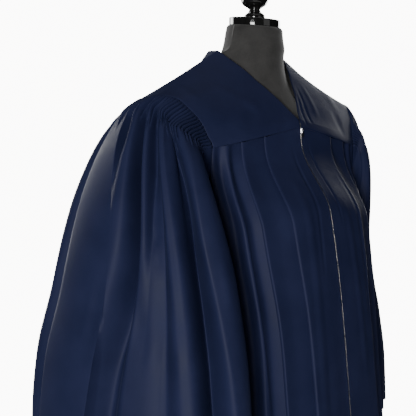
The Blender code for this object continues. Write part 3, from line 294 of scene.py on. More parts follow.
def cloth_material(name, dark, light, roughness, sheen, weave_pitch, weave_depth, spread=14.0):
    """Woven cloth: two tones in soft patches, a fine twill and a little unevenness.

    The values in sheen are its weight, roughness and tint, and the specular level.
    """
    made, tree, shader = new_material(name)
    patches = noise(tree, spread, 3.0, 0.55)
    fine = noise(tree, 900.0, 2.0, 0.6)
    scaled = add_node(tree, "ShaderNodeMath", {0: patches}, operation="MULTIPLY")
    scaled.inputs[1].default_value = PATCH_PART
    mixed = add_node(tree, "ShaderNodeMath", {0: fine, 2: scaled.outputs[0]},
                     operation="MULTIPLY_ADD")
    mixed.inputs[1].default_value = FINE_PART
    uv = add_node(tree, "ShaderNodeUVMap", uv_map="cloth").outputs["UV"]
    slanted = add_node(tree, "ShaderNodeMapping", {"Vector": uv},
                       Rotation=(0.0, 0.0, math.radians(TWILL_SLANT)))
    twill = add_node(tree, "ShaderNodeTexWave", {"Vector": slanted.outputs["Vector"]},
                     Scale=1.0 / (weave_pitch * 2 * math.pi), Distortion=0.6, Detail=1.0,
                     Detail_Scale=2.0)
    woven = bumped(tree, twill.outputs["Fac"], 0.25, weave_depth)
    link_inputs(tree, shader, {
        "Base Color": ramp(tree, mixed.outputs[0], [(0.36, dark), (0.64, light)]),
        "Roughness": mapped(tree, patches, (0.3, 0.7), (roughness - 0.05, roughness + 0.05)),
        "Normal": bumped(tree, fine, 0.35, weave_depth * 2.5, woven),
    })
    set_values(shader, Sheen_Weight=sheen[0], Sheen_Roughness=sheen[1], Sheen_Tint=sheen[2],
               Specular_IOR_Level=sheen[3])
    return made


def hard_material(name, dark, light, roughness, metallic, coat=0.0, scratch=0.00002):
    """Lacquer or metal, with faint wear in its tone, roughness and surface."""
    made, tree, shader = new_material(name)
    wear = noise(tree, 60.0, 5.0, 0.6)
    link_inputs(tree, shader, {
        "Base Color": ramp(tree, wear, [(0.35, dark), (0.75, light)]),
        "Roughness": mapped(tree, wear, (0.35, 0.70), (roughness, roughness * 1.6)),
        "Normal": bumped(tree, wear, 0.3, scratch),
    })
    set_values(shader, Metallic=metallic, Coat_Weight=coat, Coat_Roughness=0.04)
    return made


navy = cloth_material("navy_gown_cloth_look", (0.0110, 0.0145, 0.0440, 1.0),
                      (0.0158, 0.0202, 0.0590, 1.0), 0.58,
                      (0.03, 0.40, (0.30, 0.42, 0.95, 1.0), 0.12), 0.0007, 0.00010)
form_look = cloth_material("black_form_cloth_look", (0.024, 0.0235, 0.023, 1.0),
                           (0.050, 0.0485, 0.047, 1.0), 0.80,
                           (0.20, 0.50, (0.9, 0.9, 0.9, 1.0), 0.20), 0.0011, 0.00022, spread=30.0)
tape_look = cloth_material("navy_zip_tape_look", (0.0045, 0.0065, 0.017, 1.0),
                           (0.0080, 0.0110, 0.026, 1.0), 0.70,
                           (0.15, 0.50, (0.4, 0.5, 0.8, 1.0), 0.25), 0.0009, 0.00012)
gloss = hard_material("gloss_black_wood_look", (0.006, 0.006, 0.006, 1.0),
                      (0.011, 0.011, 0.011, 1.0), 0.07, 0.0, coat=1.0)
steel = hard_material("bright_zip_metal_look", (0.60, 0.60, 0.61, 1.0), (0.80, 0.80, 0.81, 1.0),
                      0.16, 1.0)
brass = hard_material("zip_teeth_look", (0.42, 0.40, 0.36, 1.0), (0.62, 0.59, 0.52, 1.0), 0.24, 1.0)
iron = hard_material("black_stand_metal_look", (0.020, 0.020, 0.021, 1.0),
                     (0.040, 0.040, 0.042, 1.0), 0.38, 0.3, scratch=0.00008)


# Mesh pieces

SHARP_FROM = math.radians(50)


def add_mesh(name, points, faces, look, uvs=None, smooth=True):
    mesh = bpy.data.meshes.new(name)
    mesh.from_pydata([tuple(p) for p in points], [], [tuple(f) for f in faces])
    mesh.update()
    layer = mesh.uv_layers.new(name="cloth")
    if uvs is not None:
        loops = np.zeros(len(mesh.loops), np.int32)
        mesh.loops.foreach_get("vertex_index", loops)
        layer.data.foreach_set("uv", np.asarray(uvs, np.float32)[loops].ravel())
    if smooth:
        mesh.shade_smooth()
    made = bpy.data.objects.new(name, mesh)
    bpy.context.scene.collection.objects.link(made)
    made.data.materials.append(look)
    return made


def grid_faces(rows, columns, closed, start=0, flip=False):
    r, c = np.meshgrid(np.arange(rows - 1), np.arange(columns if closed else columns - 1),
                       indexing="ij")
    c2 = (c + 1) % columns
    quad = np.stack([r * columns + c, (r + 1) * columns + c, (r + 1) * columns + c2,
                     r * columns + c2], axis=-1).reshape(-1, 4) + start
    return quad[:, ::-1] if flip else quad


def grid_uv(grid):
    """Mean distances of the columns across and of the rows down the cloth, in metres."""
    u, v = distances(grid, 1).mean(axis=0), distances(grid, 0).mean(axis=1)
    return np.stack(np.meshgrid(u, -v), axis=-1).reshape(-1, 2)


def shell(name, grid, closed, look, thick):
    """A closed thin shell round a grid of points whose rows go down."""
    half = grid_normals(grid, closed) * thick / 2
    rows, columns = grid.shape[:2]
    count = rows * columns
    faces = [grid_faces(rows, columns, closed), grid_faces(rows, columns, closed, count, True)]
    ends = np.arange(columns if closed else columns - 1)
    after = (ends + 1) % columns
    for r, turn in ((0, 1), (rows - 1, -1)):
        rim = np.stack([r * columns + ends, r * columns + after, count + r * columns + after,
                        count + r * columns + ends], axis=-1)
        faces.append(rim[:, ::turn])
    if not closed:
        steps = np.arange(rows - 1)
        for c, turn in ((0, -1), (columns - 1, 1)):
            side = np.stack([steps * columns + c, (steps + 1) * columns + c,
                             count + (steps + 1) * columns + c, count + steps * columns + c],
                            axis=-1)
            faces.append(side[:, ::-turn])
    uv = grid_uv(grid)
    points = np.concatenate([(grid + half).reshape(-1, 3), (grid - half).reshape(-1, 3)])
    faces = np.concatenate(faces)[:, ::-1]
    made = add_mesh(name, points, faces, look, np.concatenate([uv, uv]))
    made.data.set_sharp_from_angle(angle=SHARP_FROM)
    return made


def flipped(grid, side):
    """Points modelled on the right side, or their mirror image for the left side."""
    return grid * np.array((-side, 1.0, 1.0))


def ordered(grid, side):
    """Points on their own side, with the columns in the order that makes faces look outwards."""
    return flipped(grid, side)[:, ::side]


def mirrored(half):
    """A right half whose last column is the middle, joined to its mirror image."""
    return np.concatenate([half, flipped(half, LEFT)[:, -2::-1]], axis=1)


def dress(made, node):
    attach(made, ROOT)
    if node:
        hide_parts(node)


pieces = {}


def cloth_piece(node, grid, closed=False, look=navy, thick=SHELL):
    """A cut piece of cloth in the place of its solid, kept under the solid's name."""
    pieces[node] = shell(node + "_cloth", grid, closed, look, thick)
    dress(pieces[node], node)


# Yokes

NECK_SHARE = 0.88
SHOULDER_DROOP = 0.0004
RIDGE_SHARE = 0.30
BACK_BOW = (0.0, 0.018, 0.012)
YOKE_PROUD = 0.0006
YOKE_ROLL = 0.0035
YOKE_STEPS = 96
YOKE_CROWDING = 0.55
BACK_YOKE_ROWS = 80
BACK_YOKE_COLUMNS = 90


def coons(top, bottom, left, right, u, v):
    u, v = u[..., None], v[..., None]
    sides = (1 - v) * left(u[..., 0]) + v * right(u[..., 0])
    ends = (1 - u) * top(v[..., 0]) + u * bottom(v[..., 0])
    zero, one = np.array(0.0), np.array(1.0)
    corners = (1 - u) * ((1 - v) * top(zero) + v * top(one))
    corners = corners + u * ((1 - v) * bottom(zero) + v * bottom(one))
    return sides + ends - corners


def shoulder_line(v):
    start = neck_edge(0.0)
    end = arm_point(0.0)
    v = np.asarray(v, float)[..., None]
    return start + (end - start) * v + np.array((0, 0, 4 * SHOULDER_DROOP)) * v * (1 - v)


def yoke_inner_edge(u):
    high = neck_edge(np.minimum(u / NECK_SHARE, 1.0))
    low_part = np.clip((u - NECK_SHARE) / (1 - NECK_SHARE), 0, 1)[..., None]
    return high + (front_seam(0.0) - neck_edge(1.0)) * low_part


# Soft creases of a yoke: from (u, v) to (u, v), half width, depth.
YOKE_LEFT_CREASES = [
    # u0,  v0,   u1,   v1,   half_width, depth
    (0.40, 0.06, 0.93, 0.20, 0.035, -0.0011),
    (0.52, 0.03, 0.97, 0.10, 0.028, -0.0009),
    (0.30, 0.16, 0.80, 0.34, 0.060, 0.0007),
    (0.55, 0.60, 0.95, 0.80, 0.090, -0.0008),
    (0.15, 0.55, 0.60, 0.72, 0.110, 0.0008),
]
YOKE_RIGHT_CREASES = [
    # u0,  v0,   u1,   v1,   half_width, depth
    (0.62, 0.40, 0.96, 0.62, 0.110, -0.0009),
    (0.30, 0.55, 0.72, 0.30, 0.120, 0.0008),
    (0.82, 0.10, 0.99, 0.30, 0.070, -0.0006),
    (0.10, 0.75, 0.45, 0.88, 0.090, 0.0007),
]


def creases_at(creases, u, v):
    total = np.zeros_like(u)
    for u0, v0, u1, v1, half, depth in creases:
        way = np.array((u1 - u0, v1 - v0))
        length = np.hypot(*way)
        along = ((u - u0) * way[0] + (v - v0) * way[1]) / length ** 2
        off = ((v - v0) * way[0] - (u - u0) * way[1]) / length
        total = total + depth * bump(off / half) * ease(along / 0.25) * ease((1 - along) / 0.25)
    return total


def yoke_lift(grid):
    """How far a yoke stands out: not at its sewn edges, and fully inside a narrow roll."""
    across, down = distances(grid, 1), distances(grid, 0)
    nearest = np.minimum(np.minimum(across, across[:, -1:] - across), down[-1:] - down)
    inside = np.clip(nearest / YOKE_ROLL, 0, 1)
    return YOKE_PROUD * np.sqrt(np.clip(1 - (1 - inside) ** 2, 0, 1))


def spaced(count, sharp=0.0):
    """Places from 0 to 1, closer together near both ends when sharp is above 0."""
    t = np.linspace(0, 1, count)
    return (1 - sharp) * t + sharp * (1 - np.cos(math.pi * t)) / 2


def front_yoke(node, creases, side):
    places = spaced(YOKE_STEPS, YOKE_CROWDING)
    u, v = np.meshgrid(places, places, indexing="ij")
    grid = coons(shoulder_line, front_seam, yoke_inner_edge,
                 lambda w: arm_point(FRONT_YOKE_Q * w), u, v)
    lift = yoke_lift(grid) + creases_at(creases, u, v)
    cloth_piece(node, ordered(grid + grid_normals(grid, False) * lift[..., None], side))


def back_yoke_top(v):
    v = np.asarray(v, float)
    ridge = shoulder_line(1 - np.minimum(v / RIDGE_SHARE, 1)) + np.array((0, SEAM_GAP, 0))
    neck = back_neck(np.clip((v - RIDGE_SHARE) / (1 - RIDGE_SHARE), 0, 1))
    return np.where((v <= RIDGE_SHARE)[..., None], ridge, neck)


def back_centre(w):
    w = np.asarray(w, float)
    start, end = back_neck(1.0), back_seam(1.0)
    return start + (end - start) * w[..., None] + np.array(BACK_BOW) * np.sin(math.pi * w)[..., None]


def back_yoke_side(w):
    w = np.asarray(w, float)
    return arm_point(1 - (1 - BACK_YOKE_Q) * w) + vec(0, SEAM_GAP * (1 - w), 0)


def back_yoke(node):
    u, v = np.meshgrid(spaced(BACK_YOKE_ROWS, 0.5), spaced(BACK_YOKE_COLUMNS, 0.2),
                       indexing="ij")
    grid = mirrored(coons(back_yoke_top, back_seam, back_yoke_side, back_centre, u, v))
    spot = (BACK_YOKE_ROWS // 2, BACK_YOKE_COLUMNS - 1)
    grid = grid + normals_to(grid, spot, 1) * yoke_lift(grid)[..., None]
    cloth_piece(node, facing(grid, spot, 1))


# Front panels

FRONT_RIGHT_FOLDS = [
    # name,        top,  chest, waist, hem,  d_top,  d_chest, d_waist, d_hem
    ("zip_edge", 0.000, 0.0, 0.0, 0.0, 0.0, 0.0, 0.0, 0.0),
    ("tape_edge", 0.060, 1.5, 1.5, 1.5, 0.0, 0.0, 0.0, 0.0),
    ("panel_in", 0.160, 6.0, 6.0, 5.5, 0.0, 0.001, 0.002, 0.004),
    ("panel_mid", 0.340, 13.5, 12.5, 11.5, 0.001, 0.003, 0.004, 0.008),
    ("pleat_one", 0.480, 22.0, 19.2, 18.0, 0.0022, 0.006, 0.008, 0.014),
    ("between", 0.600, 30.0, 27.0, 26.0, 0.000, -0.004, -0.004, -0.006),
    ("pleat_two", 0.730, 40.0, 35.3, 34.0, 0.0022, 0.006, 0.008, 0.014),
    ("gather_in", 0.805, 45.6, 41.0, 41.0, -0.002, -0.008, -0.008, -0.014),
    ("gather_out", 0.870, 50.4, 45.4, 47.2, 0.002, 0.007, 0.007, 0.012),
    ("gather_low", 0.935, 56.0, 51.0, 54.0, -0.002, -0.006, -0.007, -0.012),
    ("arm_front", 1.000, 62.0, 58.5, 62.0, 0.0, 0.002, 0.003, 0.012),
    ("arm_mid", 1.350, 71.0, 68.5, 71.0, 0.0, 0.0, -0.001, -0.012),
    ("arm_low", 1.700, 80.0, 79.0, 81.0, 0.0, 0.0, 0.001, 0.010),
    ("side_seam", 2.000, 90.0, 90.0, 90.0, 0.0, 0.0, 0.0, 0.0),
]
FRONT_LEFT_FOLDS = [
    # name,        top,  chest, waist, hem,  d_top,  d_chest, d_waist, d_hem
    ("zip_edge", 0.000, 0.0, 0.0, 0.0, 0.0, 0.0, 0.0, 0.0),
    ("tape_edge", 0.060, 1.5, 1.5, 1.5, 0.0, 0.0, 0.0, 0.0),
    ("panel_in", 0.160, 5.5, 6.0, 6.0, 0.0, 0.001, 0.001, 0.003),
    ("panel_mid", 0.340, 13.0, 12.5, 12.5, 0.001, 0.002, 0.003, 0.007),
    ("pleat_one", 0.480, 21.0, 20.0, 19.5, 0.0022, 0.005, 0.006, 0.012),
    ("between", 0.600, 29.0, 27.5, 27.0, 0.000, -0.004, -0.004, -0.007),
    ("pleat_two", 0.730, 39.0, 36.5, 36.0, 0.0022, 0.005, 0.006, 0.013),
    ("gather_in", 0.805, 44.0, 41.5, 42.0, -0.002, -0.006, -0.007, -0.012),
    ("gather_out", 0.870, 49.5, 46.5, 48.5, 0.002, 0.005, 0.006, 0.014),
    ("gather_low", 0.935, 55.5, 52.5, 56.0, -0.002, -0.005, -0.006, -0.011),
    ("arm_front", 1.000, 62.0, 60.0, 64.0, 0.0, 0.001, 0.002, 0.010),
    ("arm_mid", 1.350, 71.0, 70.0, 72.0, 0.0, 0.0, -0.001, -0.010),
    ("arm_low", 1.700, 80.0, 80.0, 81.0, 0.0, 0.0, 0.001, 0.012),
    ("side_seam", 2.000, 90.0, 90.0, 90.0, 0.0, 0.0, 0.0, 0.0),
]
FOLD_CHEST_Z = 1.180
FOLD_WAIST_Z = 0.900
FOLD_TOP_Z = 1.320
YOKE_SEAM_GAP = 0.0005
PANEL_RELEASE = 0.150
PLEAT_TURN = 0.004
PLEAT_UNDERLAY = [
    # z,    underlay, sink
    (0.120, 0.026, 0.030),
    (0.600, 0.022, 0.022),
    (0.900, 0.016, 0.016),
    (1.180, 0.013, 0.009),
    (1.300, 0.012, 0.0044),
]
PLEAT_LAYERS = [
    # turns, underlays, part of the sink
    (-1.0, 0.0, 0.00),
    (0.0, 0.0, 0.25),
    (-1.0, 0.0, 0.50),
    (0.0, 1.0, 0.75),
    (1.0, 1.0, 1.00),
]
TAPE_COVER = 0.0130
underlay_at = Smooth(PLEAT_UNDERLAY)


def body_point(angle, z, front=True):
    half_width, front_depth, back_depth = np.moveaxis(body_rings(z), -1, 0)
    turn = np.radians(angle)
    reach = np.maximum(np.cos(turn), 0.0) ** BODY_SQUARENESS
    y = -front_depth * reach if front else back_depth * reach + SEAM_GAP
    return vec(-half_width * np.abs(np.sin(turn)) ** BODY_SQUARENESS, y, z)


def panel_top(top):
    if top <= 1:
        return front_seam(top) - np.array((0, 0, YOKE_SEAM_GAP))
    return arm_point(FRONT_YOKE_Q + (UNDERARM_Q - FRONT_YOKE_Q) * (top - 1))


def hung(start, angles, z, front=True):
    """Points below a seam, which leave it and come to the body's rings."""
    share = ease((start[..., 2] - z) / PANEL_RELEASE)[..., None]
    hang = body_point(angles, z, front)[..., :2]
    flat = start[..., :2] + (hang - start[..., :2]) * share
    return np.concatenate([flat, z[..., None]], axis=-1)


def front_base(top, chest, waist, hem, rows):
    start = panel_top(top)
    z = start[2] + (HEM_Z - start[2]) * rows
    angles = Smooth([(HEM_Z, hem), (FOLD_WAIST_Z, waist), (FOLD_CHEST_Z, chest),
                     (FOLD_TOP_Z, chest)])
    return hung(start, angles(z)[:, 0], z)


def front_lines(folds, rows):
    """The lines down a front panel through each station, with the kind of corner each makes."""
    lines = []
    kinds = []
    for name, top, chest, waist, hem, d_top, d_chest, d_waist, d_hem in folds:
        depths = Smooth([(HEM_Z, d_hem), (FOLD_WAIST_Z, d_waist), (FOLD_CHEST_Z, d_chest),
                         (min(panel_top(top)[2], FOLD_TOP_Z) + 0.0001, d_top)])
        centre = front_base(top, chest, waist, hem, rows)
        ahead = front_base(min(top + 0.01, 2.0), chest + 1, waist + 1, hem + 1, rows)
        side_way = unit((ahead - centre) * np.array((1, 1, 0)))
        out = vec(-side_way[:, 1], side_way[:, 0], 0.0)
        depth = depths(centre[:, 2])
        if name == "zip_edge":
            centre[:, 0] = -FRONT_EDGE_X
        if name == "tape_edge":
            centre[:, 0] = -TAPE_COVER
        if not name.startswith("pleat"):
            lines.append(centre + out * depth)
            kinds.append("soft")
            continue
        underlay, sink = np.moveaxis(underlay_at(centre[:, 2]), -1, 0)
        for turn, under, level in PLEAT_LAYERS:
            along = (turn * PLEAT_TURN - under * underlay)[:, None]
            lines.append(centre + side_way * along + out * (depth - (sink * level)[:, None]))
            kinds.append("pleat")
    return np.array(lines), kinds


def through(lines, kinds):
    """Points along each row through its lines: smooth between soft ones, round at a pleat."""
    last = len(lines) - 1
    slopes = np.zeros_like(lines)
    for i in range(last + 1):
        before = lines[max(i - 1, 0)]
        after = lines[min(i + 1, last)]
        slopes[i] = (after - before) / (2 if 0 < i < last else 1)
        if kinds[i] == "pleat":
            back_step = np.linalg.norm(lines[i] - before, axis=1, keepdims=True)
            next_step = np.linalg.norm(after - lines[i], axis=1, keepdims=True)
            slopes[i] = unit(after - before) * np.minimum(back_step, next_step)
    columns = []
    for i in range(last):
        parts = SOFT_STEPS if "soft" in kinds[i:i + 2] else PLEAT_STEPS
        columns += [smooth_step(lines[i], slopes[i], lines[i + 1], slopes[i + 1], k / parts)
                    for k in range(parts)]
    return np.array(columns + [lines[-1]])


# Soft creases down the hanging panels: the share across, heights, lean, width and depth.
FRONT_RIGHT_CREASES = [
    # across, z_top, z_low, shift, half_width, depth
    (0.05, 1.270, 1.020, 0.030, 0.012, -0.0012),
    (0.12, 1.240, 0.700, 0.010, 0.030, 0.0016),
    (0.20, 1.060, 0.400, 0.020, 0.024, -0.0018),
    (0.52, 1.200, 0.750, -0.012, 0.014, 0.0015),
    (0.60, 1.250, 0.950, 0.010, 0.012, -0.0012),
]
FRONT_LEFT_CREASES = [
    # across, z_top, z_low, shift, half_width, depth
    (0.04, 1.280, 1.120, 0.020, 0.010, -0.0010),
    (0.10, 1.180, 0.800, 0.015, 0.026, 0.0014),
    (0.18, 1.230, 0.900, -0.010, 0.020, -0.0012),
    (0.24, 1.000, 0.300, 0.010, 0.030, 0.0016),
]
PANEL_ROWS = 130
SOFT_STEPS = 12
PLEAT_STEPS = 6
# A row and column near the zip, where a front panel is flat.
PANEL_SPOT = (60, 4)


def panel_creases(creases, across, z):
    total = np.zeros_like(z)
    for place, z_top, z_low, shift, half, depth in creases:
        down = (z_top - z) / (z_top - z_low)
        off = (across - place - shift * down) / half
        total = total + depth * bump(off) * ease(down / 0.2) * ease((1 - down) / 0.3)
    return total


def front_panel(node, folds, creases, side):
    rows = spaced(PANEL_ROWS, 0.25) ** 1.15
    grid = through(*front_lines(folds, rows)).transpose(1, 0, 2)
    across = distances(grid, 1)
    lift = panel_creases(creases, across / across[:, -1:], grid[..., 2])
    cloth_piece(node, ordered(grid + normals_to(grid, PANEL_SPOT, -1) * lift[..., None], side))


# Back panel

BACK_FOLDS = [
    # angle at the waist from the side seam, hem angle, d_chest, d_waist, d_hem
    (0.0, 0.0, 0.000, 0.000, 0.000),
    (9.0, 8.0, 0.000, -0.002, -0.012),
    (18.0, 16.0, 0.002, 0.003, 0.014),
    (27.0, 25.0, -0.003, -0.007, -0.015),
    (36.0, 34.0, 0.004, 0.009, 0.017),
    (45.0, 43.0, -0.005, -0.010, -0.016),
    (53.0, 52.0, 0.005, 0.011, 0.018),
    (62.0, 61.0, -0.006, -0.012, -0.018),
    (71.0, 70.0, 0.006, 0.011, 0.016),
    (80.0, 80.0, -0.005, -0.010, -0.016),
    (90.0, 90.0, 0.006, 0.011, 0.017),
]
BACK_FLUTES = 40
BACK_FLUTED_HALF = 0.130
BACK_BAND = 0.045
FLUTE_HEIGHT = 0.0042
FLUTE_FADE = 0.022
FLUTE_RELEASE = 0.035
FLUTE_ROUNDNESS = 2.4
BACK_ROWS = 110
BACK_FOLD_TOP_Z = 1.280
# How unevenly the back's flutes end: size, rate across and start.
BACK_UNEVEN = ((0.35, 171.0, 0.0), (0.25, 67.0, 1.0))
# Broader waves where the back's flutes run out: height, pitch and distance below the seam.
BROAD_HEIGHT = 0.0030
BROAD_PITCH = 0.034
BROAD_BELOW = 0.09


def flute_height(phase):
    """Height of a row of flutes, 0 in a valley and 1 on a crown."""
    return 1 - np.abs(2 * np.mod(phase, 1.0) - 1) ** FLUTE_ROUNDNESS


def back_half():
    """The right half of the back from the side seam to the centre, before its flutes."""
    arm = np.linspace(UNDERARM_Q, BACK_YOKE_Q, 24)[:-1]
    starts = [arm_point(arm) + np.array((0, SEAM_GAP, 0))]
    v = np.linspace(0, 1, 4000)
    seam = back_seam(v)
    outer_x = abs(BACK_SEAM[0][1])
    xs = np.concatenate([np.linspace(outer_x, BACK_FLUTED_HALF, 20)[:-1],
                         np.linspace(BACK_FLUTED_HALF, 0, BACK_FLUTES // 2 * 8 + 1)])
    places = np.interp(xs, -seam[::-1, 0], v[::-1])
    starts.append(back_seam(places) - np.array((0, 0, YOKE_SEAM_GAP)))
    return np.concatenate(starts)


def back_panel(node):
    starts = back_half()
    order = distances(starts)
    order = order / order[-1]
    z = starts[:, 2] + (HEM_Z - starts[:, 2]) * spaced(BACK_ROWS, 0.25)[:, None] ** 1.25
    grid = hung(starts, 90.0 * (1 - order), z, front=False)

    def part(high, low):
        return ease((high - z) / (high - low))

    table = np.array(BACK_FOLDS)
    waist, hem = (Smooth(table[:, [angle, 2, 3, 4]])(90.0 * np.broadcast_to(order, z.shape))
                  for angle in (0, 1))
    depth = waist + (hem - waist) * part(FOLD_WAIST_Z, HEM_Z)[..., None]
    level = depth[..., 0] * part(BACK_FOLD_TOP_Z, FOLD_CHEST_Z)
    level = level + (depth[..., 1] - level) * part(FOLD_CHEST_Z, FOLD_WAIST_Z)
    level = level + (depth[..., 2] - level) * part(FOLD_WAIST_Z, HEM_Z)
    way = unit(np.gradient(grid, axis=1) * np.array((1, 1, 0)))
    way[:, -1] = (1, 0, 0)
    whole = mirrored(grid + vec(-way[..., 1], way[..., 0], 0.0) * level[..., None])

    x, below = whole[0, :, 0], whole[0, :, 2] - whole[..., 2]
    pitch = 2 * BACK_FLUTED_HALF / BACK_FLUTES
    inside = np.clip((BACK_FLUTED_HALF - np.abs(x)) / (pitch * 1.5), 0, 1)
    uneven = 1 + sum(size * np.sin(x * rate + start) for size, rate, start in BACK_UNEVEN)
    fade = ease((BACK_BAND * (0.7 + 0.3 * uneven) + FLUTE_RELEASE - below) / FLUTE_RELEASE)
    broad = BROAD_HEIGHT * np.sin(x * 2 * math.pi / BROAD_PITCH + 2 * np.sin(x * 31.0))
    broad = broad * bump((below - BROAD_BELOW) / BROAD_BELOW)
    lift = inside * (FLUTE_HEIGHT * (flute_height(x / pitch) - 0.5) * fade + broad)
    spot = (BACK_ROWS // 2, whole.shape[1] // 2)
    whole = whole + normals_to(whole, spot, 1) * lift[..., None]
    cloth_piece(node, facing(whole, spot, 1))


# Sleeves

SLEEVE_RIGHT_RINGS = [
    # z,    centre_x, centre_y, across, along, turn
    (0.700, -0.321, -0.037, 0.090, 0.206, 20.0),
    (0.800, -0.320, -0.037, 0.087, 0.204, 20.0),
    (0.900, -0.314, -0.034, 0.081, 0.197, 20.0),
    (1.020, -0.301, -0.032, 0.073, 0.174, 20.0),
    (1.145, -0.295, -0.032, 0.067, 0.148, 20.0),
]
SLEEVE_LEFT_RINGS = [
    # z,    centre_x, centre_y, across, along, turn
    (0.700, -0.322, 0.050, 0.077, 0.188, 24.0),
    (0.800, -0.320, 0.050, 0.075, 0.184, 24.0),
    (0.900, -0.312, 0.051, 0.070, 0.175, 24.0),
    (1.020, -0.297, 0.050, 0.065, 0.155, 24.0),
    (1.145, -0.283, 0.040, 0.060, 0.130, 22.0),
]
# The folds' places and heights. Rows without heights take them from RIGHT_WAVES.
SLEEVE_RIGHT_FOLDS = [
    # q,    waist_angle, hem_angle, top, waist, hem
    (0.020, 6.0, -4.0),
    (0.055, 14.0, 7.0),
    (0.082, 23.0, 18.0),
    (0.098, 28.0, 25.5),
    (0.104, 29.5, 27.0),
    (0.130, 41.0, 44.5),
    (0.175, 54.5, 63.0),
    (0.240, 76.0, 84.0),
    (0.290, 104.0, 108.0),
    (0.330, 128.0, 132.0, 0.000, -0.006, -0.008),
    (0.420, 155.0, 158.0, 0.000, -0.003, -0.003),
    (0.500, 180.0, 180.0, 0.000, 0.000, -0.005),
    (0.600, 208.0, 208.0, 0.000, 0.002, 0.003),
    (0.665, 226.0, 224.0, 0.000, -0.006, -0.008),
    (0.710, 241.0, 237.0, 0.007, 0.012, 0.014),
    (0.750, 252.0, 247.0, -0.008, -0.015, -0.018),
    (0.790, 263.0, 257.0, 0.008, 0.013, 0.016),
    (0.830, 275.0, 269.0, -0.008, -0.014, -0.017),
    (0.865, 289.0, 283.0, 0.007, 0.011, 0.013),
    (0.895, 301.0, 295.0),
    (0.922, 312.0, 306.0),
    (0.945, 323.0, 317.0),
    (0.968, 337.0, 330.0),
    (0.990, 350.0, 341.0),
]
SLEEVE_LEFT_FOLDS = [
    # q,    waist_angle, hem_angle, top, waist, hem
    (0.025, 8.0, 0.0, -0.008, -0.018, -0.021),
    (0.060, 19.0, 14.0, 0.008, 0.012, 0.010),
    (0.092, 30.0, 28.0, -0.009, -0.013, -0.012),
    (0.128, 42.0, 43.0, 0.006, 0.008, 0.012),
    (0.170, 56.0, 61.0, -0.009, -0.020, -0.022),
    (0.225, 74.0, 80.0, 0.008, 0.012, 0.015),
    (0.280, 98.0, 102.0, 0.002, -0.006, -0.008),
    (0.330, 126.0, 130.0, 0.000, 0.002, 0.004),
    (0.420, 155.0, 158.0, 0.000, -0.003, -0.003),
    (0.500, 180.0, 180.0, 0.000, 0.000, -0.005),
    (0.600, 207.0, 206.0, 0.000, 0.002, 0.003),
    (0.668, 227.0, 225.0, 0.000, -0.007, -0.009),
    (0.715, 243.0, 239.0, 0.007, 0.013, 0.016),
    (0.758, 255.0, 251.0, -0.008, -0.016, -0.019),
    (0.800, 267.0, 262.0, 0.008, 0.012, 0.015),
    (0.842, 280.0, 275.0, -0.008, -0.013, -0.016),
    (0.880, 295.0, 290.0, 0.007, 0.012, 0.014),
    (0.915, 309.0, 304.0, -0.006, -0.012, -0.014),
    (0.950, 326.0, 321.0, 0.007, 0.011, 0.013),
    (0.985, 347.0, 341.0, 0.008, 0.013, 0.016),
]
SLEEVE_ARC_FLUTES = 26
BAND_REACH = [
    # q,    x,       y,      z
    (0.000, -0.0340, 0.000, -0.0230),
    (0.040, -0.0280, 0.000, -0.0200),
    (0.080, -0.0300, 0.000, -0.0210),
    (0.120, -0.0366, -0.002, -0.0235),
    (0.155, -0.0480, -0.005, -0.0245),
    (0.190, -0.0510, -0.008, -0.0222),
    (0.225, -0.0430, -0.008, -0.0185),
    (0.258, -0.0300, -0.005, -0.0090),
    (0.300, -0.0220, -0.001, -0.0040),
    (0.343, -0.0060, -0.001, -0.0080),
    (0.657, -0.0060, 0.001, -0.0080),
    (0.700, -0.0130, 0.003, -0.0090),
    (0.776, -0.0380, 0.010, -0.0190),
    (0.854, -0.0360, 0.006, -0.0250),
    (0.930, -0.0340, 0.002, -0.0240),
    (1.000, -0.0340, 0.000, -0.0230),
]
SLEEVE_FALL = [
    # q,    x,     y,     z
    (0.000, -0.165, -0.010, -0.160),
    (0.080, -0.110, -0.060, -0.200),
    (0.155, -0.080, -0.140, -0.220),
    (0.209, -0.060, -0.170, -0.200),
    (0.258, -0.090, -0.150, -0.180),
    (0.300, -0.110, -0.080, -0.220),
    (0.419, -0.030, -0.020, -0.200),
    (0.500, -0.020, 0.000, -0.100),
    (0.581, -0.030, 0.020, -0.200),
    (0.700, -0.100, 0.060, -0.240),
    (0.776, -0.140, 0.120, -0.200),
    (0.902, -0.150, 0.040, -0.165),
    (1.000, -0.165, -0.010, -0.160),
]
SLEEVE_RIGHT_FULLNESS = 1.0
SLEEVE_LEFT_FULLNESS = 0.52
BAND_TURN = 0.8
BAND_STEPS = 12
PATH_STEPS = 36
RING_STEPS = 24
PATH_NEAR = 0.03
band_reach = Smooth(BAND_REACH)
sleeve_fall = Smooth(SLEEVE_FALL)
COLUMNS_PER_FLUTE = 8
UNDERARM_COLUMNS = 60
BAND_ROWS = 10
RELEASE_ROWS = 16
HANG_ROWS = 50
RELEASE_LENGTH = 0.060


def wrapped(rows):
    """Fold angles round a sleeve, carried on past the shoulder both ways."""
    angles = [row[:3] for row in rows]
    first = [(q - 1, waist - 360, hem - 360) for q, waist, hem in angles[-3:]]
    last = [(q + 1, waist + 360, hem + 360) for q, waist, hem in angles[:3]]
    return Smooth(first + angles + last)


def ring_point(angle, z, rings):
    centre_x, centre_y, across, along, turn = np.moveaxis(rings(z), -1, 0)
    turned = np.radians(turn)
    a = np.radians(angle)
    x = centre_x - np.cos(turned) * across * np.cos(a) + np.sin(turned) * along * np.sin(a)
    y = centre_y - np.sin(turned) * across * np.cos(a) - np.cos(turned) * along * np.sin(a)
    return vec(x, y, z)


def fold_angle(folds, q, z):
    waist, hem = np.moveaxis(folds(q), -1, 0)
    share = (SLEEVE_RING_TOP_Z - z) / (SLEEVE_RING_TOP_Z - SLEEVE_HEM_Z)
    return waist + (hem - waist) * share


